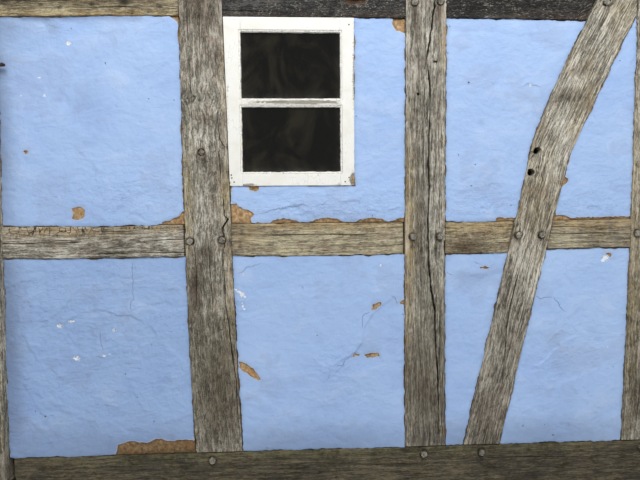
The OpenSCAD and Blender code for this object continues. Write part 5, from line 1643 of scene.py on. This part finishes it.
# Places where the blue skin has flaked off and the white ground shows: x, z, radii, strength
FLAKES = {
    "plaster_upper_left": [(-1.029, 1.916, 0.010, 0.008, 1.0), (-1.149, 1.781, 0.006, 0.006, 0.9),
                           (-1.132, 1.708, 0.007, 0.006, 1.0)],
    "plaster_lower_left": [(-1.112, 0.764, 0.016, 0.010, 1.0), (-1.062, 0.782, 0.014, 0.007, 0.9),
                           (-0.890, 0.743, 0.009, 0.006, 0.9), (-1.048, 0.625, 0.014, 0.010, 1.0),
                           (-0.935, 0.634, 0.007, 0.006, 0.8)],
    "plaster_lower_window": [(-0.378, 0.905, 0.008, 0.006, 0.9), (-0.366, 0.896, 0.008, 0.008, 1.0),
                             (-0.353, 0.885, 0.010, 0.010, 1.1), (-0.342, 0.876, 0.007, 0.006, 0.9),
                             (-0.352, 0.846, 0.005, 0.006, 0.8), (-0.350, 0.834, 0.006, 0.008, 1.0),
                             (-0.345, 0.822, 0.006, 0.005, 0.9),
                             (0.236, 1.000, 0.005, 0.005, 0.9),
                             (-0.345, 0.967, 0.005, 0.005, 0.9)],
    "plaster_lower_brace_right": [(1.222, 1.021, 0.015, 0.011, 1.2), (1.208, 1.010, 0.010, 0.007, 1.1),
                                  (1.232, 1.029, 0.009, 0.007, 1.1)],
    "plaster_round_window": [(-0.386, 1.236, 0.006, 0.012, 1.0)],
    "plaster_upper_brace_left": [(0.870, 1.757, 0.006, 0.006, 0.9)],
}
# Places with a rough, flaky face: x, z, radii, strength
RUGGED = {
    "plaster_lower_left": [(-1.0, 0.70, 0.6, 0.5, 0.9)],
    "plaster_upper_left": [(-0.80, 1.30, 0.25, 0.12, 1.0), (-1.08, 1.99, 0.06, 0.06, 0.7),
                           (-1.10, 1.30, 0.3, 0.1, 0.5)],
    "plaster_round_window": [(0.05, 1.24, 0.40, 0.07, 1.2)],
    "plaster_lower_window": [(0.05, 0.55, 0.10, 0.10, 0.9), (-0.36, 0.86, 0.05, 0.08, 0.8)],
    "plaster_upper_brace_left": [(0.65, 1.26, 0.22, 0.09, 0.8)],
    "plaster_upper_brace_right": [(1.15, 1.24, 0.22, 0.07, 0.8)],
    "plaster_lower_brace_right": [(1.05, 0.60, 0.20, 0.14, 0.6)],
}
# Darker places: x, z, radii, strength. Along the left post, under the upper rail and in the top left corner
# they are painted shade; near the foot the coat is darker towards the bottom; the small spots are marks on
# the coat.
GRIME_AND_SHADE = {
    "plaster_lower_left": [(-1.315, 0.75, 0.05, 0.6, 0.7), (-0.9, 0.22, 0.6, 0.10, 0.6)],
    "plaster_upper_left": [(-1.315, 1.55, 0.05, 0.6, 0.6), (-1.16, 2.026, 0.34, 0.020, 1.3),
                           (-1.29, 1.97, 0.11, 0.10, 0.5),
                           (-1.085, 1.985, 0.030, 0.030, 0.40), (-0.97, 1.70, 0.06, 0.08, 0.20)],
    "plaster_lower_window": [(0.0, 0.22, 0.5, 0.09, 0.6)],
    "plaster_lower_brace_left": [(0.6, 0.22, 0.3, 0.09, 0.6), (0.62, 0.95, 0.12, 0.03, 0.2)],
    "plaster_lower_brace_right": [(1.0, 0.22, 0.4, 0.09, 0.6), (1.00, 0.67, 0.05, 0.05, 0.2)],
    "plaster_upper_brace_left": [(0.661, 1.601, 0.014, 0.010, 0.35), (0.86, 1.70, 0.10, 0.03, 0.15)],
}
# How strongly the trowel's strokes stand out
ROUGHNESS = {"plaster_lower_left": 1.9, "plaster_lower_window": 1.2, "plaster_round_window": 1.0,
             "plaster_lower_brace_right": 1.2, "plaster_upper_left": 0.8, "plaster_upper_brace_left": 0.8}
# How much darker each panel's blue is drawn: partly the coat's own colour, partly painted shade, most at the
# lower left
DARKER_BLUE_AND_SHADE = {"plaster_lower_left": 0.80, "plaster_upper_left": 0.30, "plaster_lower_window": 0.40,
               "plaster_lower_brace_left": 0.35}
for i, node in enumerate(sorted(n for n in frame["nodes"] if n.startswith("plaster_"))):
    coat_loops = face_loops(node, -1)
    bed_loops = face_loops(node, 1)
    chips = FRONT_CHIPS.get(node, [])
    outline = max(coat_loops, key=lambda q: abs(area(q)))
    broken = [np.array(c) for c in chips] + [q for q in coat_loops if area(q) * area(outline) < 0] + CORNERS
    amount = ROUGHNESS.get(node, 0.9)
    slab("limed_" + node, node, -1, LIME_BLUE, 100 + i, Y_PLASTER, None, coat_loops,
         -0.0016, 0.0054, chips, CRACK_LINES.get(node, ()), skip=2, grime_and_shade=GRIME_AND_SHADE.get(node, ()),
         waves_seed=200 + i, amount=amount, thickness=COAT, ridges=RIDGES.get(node, ()),
         flakes=FLAKES.get(node, ()), rugged=RUGGED.get(node, ()), deep=DARKER_BLUE_AND_SHADE.get(node, 0.24))
    slab("bedded_" + node, node, -1, DAUB, 130 + i, Y_PLASTER + COAT + COAT_GAP, Y_DAUB, bed_loops,
         0.0002, 0.0010, skip=6, rough=0.0014, rough_near=broken, waves_seed=200 + i, amount=amount,
         ridges=RIDGES.get(node, ()), grime_and_shade=[(0.0, 0.20, 3.0, 0.10, 1.0)])

for i, node in enumerate(("inner_plaster_left", "inner_plaster_window", "inner_plaster_brace")):
    slab("limed_" + node, node, 1, LIME_WHITE, 160 + i, Y_ROOM, Y_INNER, face_loops(node, 1),
         -0.0010, 0.0034, cell=0.006, skip=4, waves_seed=230 + i)

for node, obj in frame["nodes"].items():
    if node.startswith("daub"):
        obj.data.materials.clear()
        obj.data.materials.append(DAUB)


# Window: the CAD members with worn edges
LONGEST_EDGE = 0.018


def worn_copy(name, node, bevel, spots):
    bm = bmesh.new()
    bm.from_mesh(frame["nodes"][node].data)
    bmesh.ops.remove_doubles(bm, verts=bm.verts, dist=1e-5)
    bmesh.ops.dissolve_limit(bm, angle_limit=math.radians(1), verts=bm.verts, edges=bm.edges)
    sharp = [e for e in bm.edges if len(e.link_faces) == 2 and e.calc_face_angle(0) > math.radians(25)]
    bmesh.ops.bevel(bm, geom=sharp, offset=bevel, segments=2, profile=0.6, affect="EDGES")
    bmesh.ops.triangulate(bm, faces=bm.faces)
    for _ in range(7):
        long = [e for e in bm.edges if e.calc_length() > LONGEST_EDGE]
        if not long:
            break
        bmesh.ops.subdivide_edges(bm, edges=long, cuts=1)
        bmesh.ops.triangulate(bm, faces=bm.faces)
    co = np.array([v.co for v in bm.verts])
    normals = np.array([v.normal for v in bm.verts])
    faces = [[v.index for v in f.verts] for f in bm.faces]
    bm.free()
    co = co + normals * (0.0003 * (layered(co / 0.02, 4, 2) - 0.6))[:, None]
    worn = blobs(co[:, 0], co[:, 2], spots, 9)
    make_piece(name, co, faces, PAINT, [node], {"worn": worn}, angle=30)


for name, node, bevel, spots in (
        ("painted_stile_left", "window_stile_left", 0.0014,
         [(-0.40, 1.352, 0.012, 0.012, 0.9), (-0.398, 1.70, 0.004, 0.2, 0.5)]),
        ("painted_stile_right", "window_stile_right", 0.0014,
         [(0.121, 1.364, 0.014, 0.026, 1.9), (0.122, 1.80, 0.004, 0.2, 0.7)]),
        ("painted_head", "window_head", 0.0018, [(0.05, 2.02, 0.05, 0.004, 0.5)]),
        ("painted_foot", "window_foot", 0.0018,
         [(-0.33, 1.345, 0.05, 0.006, 0.9), (0.08, 1.345, 0.04, 0.005, 0.8)]),
        ("painted_bar", "glazing_bar", 0.0014,
         [(-0.08, 1.684, 0.22, 0.0085, 1.2), (-0.30, 1.680, 0.06, 0.005, 0.6)])):
    worn_copy(name, node, bevel, spots)


def lay_putty():
    """A sloping fillet round each pane, broken here and there."""
    lo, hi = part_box("window_putty")
    bar_lo, bar_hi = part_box("glazing_bar")
    deep = hi.y - lo.y
    mid_x, half_x = (lo.x + hi.x) / 2, (hi.x - lo.x) / 2
    points, faces, seam = [], [], []
    for number, (z0, z1) in enumerate(((lo.z, bar_lo.z + 0.008), (bar_hi.z - 0.008, hi.z))):
        mid_z, half_z = (z0 + z1) / 2, (z1 - z0) / 2
        corners = [(lo.x, z0), (hi.x, z0), (hi.x, z1), (lo.x, z1)]
        ring = []
        for (ax, az), (bx, bz) in zip(corners, corners[1:] + corners[:1]):
            count = max(6, round(math.hypot(bx - ax, bz - az) / 0.003))
            ring += [(ax + (bx - ax) * i / count, az + (bz - az) * i / count) for i in range(count)]
        base = len(points)
        for x, z in ring:
            n1 = float(layered([x / 0.03, number * 3.1, z / 0.03], 71, 3))
            n2 = float(noise([x / 0.012, number * 1.7, z / 0.012], 73))
            n3 = float(noise([x / 0.005, number * 2.3, z / 0.005], 75))
            wide = 0.0080 + 0.0013 * n1 + 0.0009 * n2 + 0.0006 * n3 - 0.005 * max(0.0, n1 - 0.5)
            lift = 0.0006 * n2 + 0.0005 * n3
            gap = 0.0010 * max(0.0, n1 + 0.5)
            # across the fillet: share of its width, place in depth, and how open the seam is there
            profile = ((0.0, lo.y + 0.0012 + gap, 0.9), (0.16, lo.y + 0.0008 + lift, 0.2),
                       (0.80, lo.y + 0.18 * deep + lift, 0.0), (1.0, hi.y, 0.6), (0.0, hi.y, 0.0))
            for share, y, open_seam in profile:
                points.append((mid_x + (x - mid_x) * (half_x - wide * share) / half_x, y,
                               mid_z + (z - mid_z) * (half_z - wide * share) / half_z))
                seam.append(open_seam * (0.95 if number == 0 else 0.55))
        for i in range(len(ring)):
            here, ahead = base + 5 * i, base + 5 * ((i + 1) % len(ring))
            faces += [(here + k, ahead + k, ahead + (k + 1) % 5, here + (k + 1) % 5) for k in range(5)]
    make_piece("laid_putty", points, faces, PUTTY, ["window_putty"], {"seam": seam}, angle=32)


def blow_panes():
    """Panes of old glass, with faces that are not quite flat."""
    lo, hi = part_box("window_glass")
    levels = sorted({round(z, 5) for z in mesh_points("window_glass")[:, 2]})
    nx, nz = 30, 22
    stride = (nx + 1) * (nz + 1)
    points, faces = [], []
    for number, (z0, z1) in enumerate((levels[:2], levels[2:4])):
        base = len(points)
        for side_y, out in ((lo.y, -0.0003), (hi.y, 0.0003)):
            for i in range(nz + 1):
                for j in range(nx + 1):
                    x = lo.x + (hi.x - lo.x) * j / nx
                    z = z0 + (z1 - z0) * i / nz
                    ripple = 0.0002 * float(noise([x / 0.09, number * 2.0, z / 0.14], 81))
                    points.append((x, side_y - out + ripple, z))
        for i in range(nz):
            for j in range(nx):
                a = base + i * (nx + 1) + j
                faces.append((a, a + 1, a + nx + 2, a + nx + 1))
                faces.append((a + stride, a + stride + nx + 1, a + stride + nx + 2, a + stride + 1))
        rim = ([(i, 0) for i in range(nz, -1, -1)] + [(0, j) for j in range(1, nx + 1)]
               + [(i, nx) for i in range(1, nz + 1)] + [(nz, j) for j in range(nx - 1, 0, -1)])
        rim = [base + i * (nx + 1) + j for i, j in rim]
        faces += [(b, a, a + stride, b + stride) for a, b in zip(rim, rim[1:] + rim[:1])]
    x, _, z = np.array(points).T
    foot = z - np.where(z > levels[1] + 0.005, levels[2], levels[0])
    side_gap = np.minimum(x - lo.x, hi.x - x)
    dust = np.clip(np.exp(-foot / 0.012) + 0.6 * np.exp(-side_gap / 0.010), 0, 1)
    make_piece("old_panes", points, faces, PANE, ["window_glass"], {"dust": dust}, angle=30)


def drive_nails():
    """Small wrought nails in the corners of the window frame."""
    points, faces = [], []
    face_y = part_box("window_foot")[0].y
    around = 12
    spots = [(-0.388, 1.386), (-0.386, 1.374), (-0.377, 1.357), (0.086, 1.356), (0.102, 1.374),
             (0.104, 1.998)]
    for number, (x, z) in enumerate(spots):
        base = len(points)
        for out, r in ((0.0011, 0.35), (0.0008, 0.8), (0.0, 1.0), (-0.006, 0.9)):
            for j in range(around):
                q = 2 * math.pi * j / around
                size = 0.0030 * r * (1 + 0.12 * math.sin(3 * q + number * 1.3))
                points.append((x + size * math.cos(q), face_y - out, z + size * math.sin(q)))
        faces.append(tuple(range(base, base + around)))
        faces.append(tuple(reversed(range(base + 3 * around, base + 4 * around))))
        for row in range(3):
            faces += ring_faces(base + (row + 1) * around, base + row * around, around)
    make_piece("window_nails", points, faces, IRON, angle=40)


def forge_hook():
    """A square bar drawn out round at its tip and bent forward."""
    lo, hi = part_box("iron_hook")
    radius = (hi.z - lo.z) / 2
    z = (lo.z + hi.z) / 2
    y = hi.y - radius
    bend_x = hi.x - radius
    tip_y = lo.y + radius * 0.55
    bend = 0.006
    path = [(lo.x, y), (lo.x + 0.02, y)] + [(lo.x + 0.04 + bend * i, y) for i in range(4)]
    for q in np.linspace(0, math.pi / 2, 7):
        path.append((bend_x - bend + bend * math.sin(q), y - bend * (1 - math.cos(q))))
    path = np.array(path + [(bend_x + 0.0002, tip_y + 0.004), (bend_x - 0.001, tip_y)])
    ahead = np.gradient(path, axis=0)
    ahead /= np.hypot(ahead[:, 0], ahead[:, 1])[:, None]
    around = 16
    points, faces = [], []
    for i, ((px, py), (dx, dy)) in enumerate(zip(path, ahead)):
        share = i / (len(path) - 1)
        for j in range(around):
            q = 2 * math.pi * j / around
            square = 1 + 0.10 * math.cos(4 * q) * (1 - share)
            dent = 1 + 0.05 * float(noise([px * 160, q * 1.5, py * 160], 91))
            size = radius * (1.0 - 0.30 * share ** 2) * square * dent
            out = size * math.cos(q)
            points.append((px + dy * out, py - dx * out, z + size * math.sin(q)))
        if i:
            faces += turned(ring_faces((i - 1) * around, i * around, around))
    faces.append(tuple(range(around)))
    faces.append(tuple(reversed(range(len(points) - around, len(points)))))
    make_piece("forged_hook", points, faces, IRON, ["iron_hook"], angle=45)


lay_putty()
blow_panes()
drive_nails()
forge_hook()
hewn("planed_window_board", "window_board", False, OAK_WARM, "oak_inside", 51, step=0.006, along_step=0.012,
     random_cracks=1, wear=0.35, rough=0.35, silver=0.1, edge_ochre=0.0, side_step=0.010)


# Floor, light and camera
PALE = (0.86, 0.87, 0.88, 1)
SKY = (0.95, 0.97, 1.0, 1)
LAMP = (1.0, 0.98, 0.95)


def lay_floor():
    """A pale floor, which far from the wall fades into the background, for the camera alone."""
    mesh = bpy.data.meshes.new("floor")
    mesh.from_pydata([(-30, -30, 0), (30, -30, 0), (30, 30, 0), (-30, 30, 0)], [], [(0, 1, 2, 3)])
    floor = add_object("floor", mesh)
    floor.location.z = -0.0005
    g = Graph("pale floor")
    place = g.place()
    soft = g.ramp(g.noise(place, 3.0, 2.0), (0.3, (0.70, 0.69, 0.67, 1)), (0.7, (0.73, 0.72, 0.70, 1)))
    mesh.materials.append(g.finish(soft, 0.9))
    away = g.tree.nodes.new("ShaderNodeVectorMath")
    away.operation = "LENGTH"
    g.put(away.inputs[0], place)
    rays = g.node("ShaderNodeLightPath").outputs
    share = g.times(g.steps(away.outputs["Value"], 2.6, 8.0), rays["Is Camera Ray"])
    glow = g.node("ShaderNodeEmission", Color=PALE, Strength=1.0).outputs["Emission"]
    blend = g.node("ShaderNodeMixShader", share, g.shader.outputs["BSDF"], glow)
    g.put(g.out.inputs["Surface"], blend.outputs["Shader"])


def light_room():
    """Pale to look at, directly and through glass, and dimmer as a light, with a large lamp on each side."""
    g = Graph("studio", world=True)
    bpy.context.scene.world = g.owner
    rays = g.node("ShaderNodeLightPath").outputs
    share = g.most(rays["Is Camera Ray"], rays["Is Glossy Ray"], rays["Is Transmission Ray"])
    lit = g.node("ShaderNodeBackground", Color=SKY, Strength=0.36).outputs[0]
    seen = g.node("ShaderNodeBackground", Color=PALE, Strength=1.0).outputs[0]
    g.put(g.out.inputs["Surface"], g.node("ShaderNodeMixShader", share, lit, seen).outputs[0])
    for name, place, target, power in (("sky_front", (0.35, -2.9, 5.0), (-0.1, 0.0, 1.1), 232),
                                       ("sky_back", (-1.6, 3.4, 4.8), (0.0, 0.0, 1.1), 200)):
        data = bpy.data.lights.new(name, "AREA")
        data.shape = "RECTANGLE"
        data.size, data.size_y = 3.6, 2.0
        data.energy = power
        data.color = LAMP
        lamp = add_object(name, data)
        lamp.location = place
        lamp.rotation_mode = "QUATERNION"
        lamp.rotation_quaternion = (Vector(target) - Vector(place)).to_track_quat("-Z", "Y")


# The camera as it was fitted to the photograph
CAMERA_PLACE = (-0.116, -2.19, 1.255)
CAMERA_YAW = 2.564
CAMERA_PITCH = 3.885
CAMERA_ROLL = -0.452
SENSOR = 36.0
LENS = 28.125


def set_camera():
    yaw, pitch, roll = (math.radians(v) for v in (CAMERA_YAW, CAMERA_PITCH, CAMERA_ROLL))
    ahead = np.array([math.sin(yaw) * math.cos(pitch), math.cos(yaw) * math.cos(pitch), -math.sin(pitch)])
    level = np.array([math.cos(yaw), -math.sin(yaw), 0.0])
    over = np.cross(level, ahead)
    right = level * math.cos(roll) + over * math.sin(roll)
    up = over * math.cos(roll) - level * math.sin(roll)
    data = bpy.data.cameras.new("camera")
    data.sensor_width = SENSOR
    data.lens = LENS
    data.dof.use_dof = False
    camera = add_object("camera", data)
    turn = Matrix(np.array([right, up, -ahead]).T.tolist()).to_4x4()
    camera.matrix_world = Matrix.Translation(CAMERA_PLACE) @ turn
    bpy.context.scene.camera = camera


lay_floor()
light_room()
set_camera()
bpy.context.scene.view_settings.view_transform = "Standard"

bpy.context.view_layer.update()
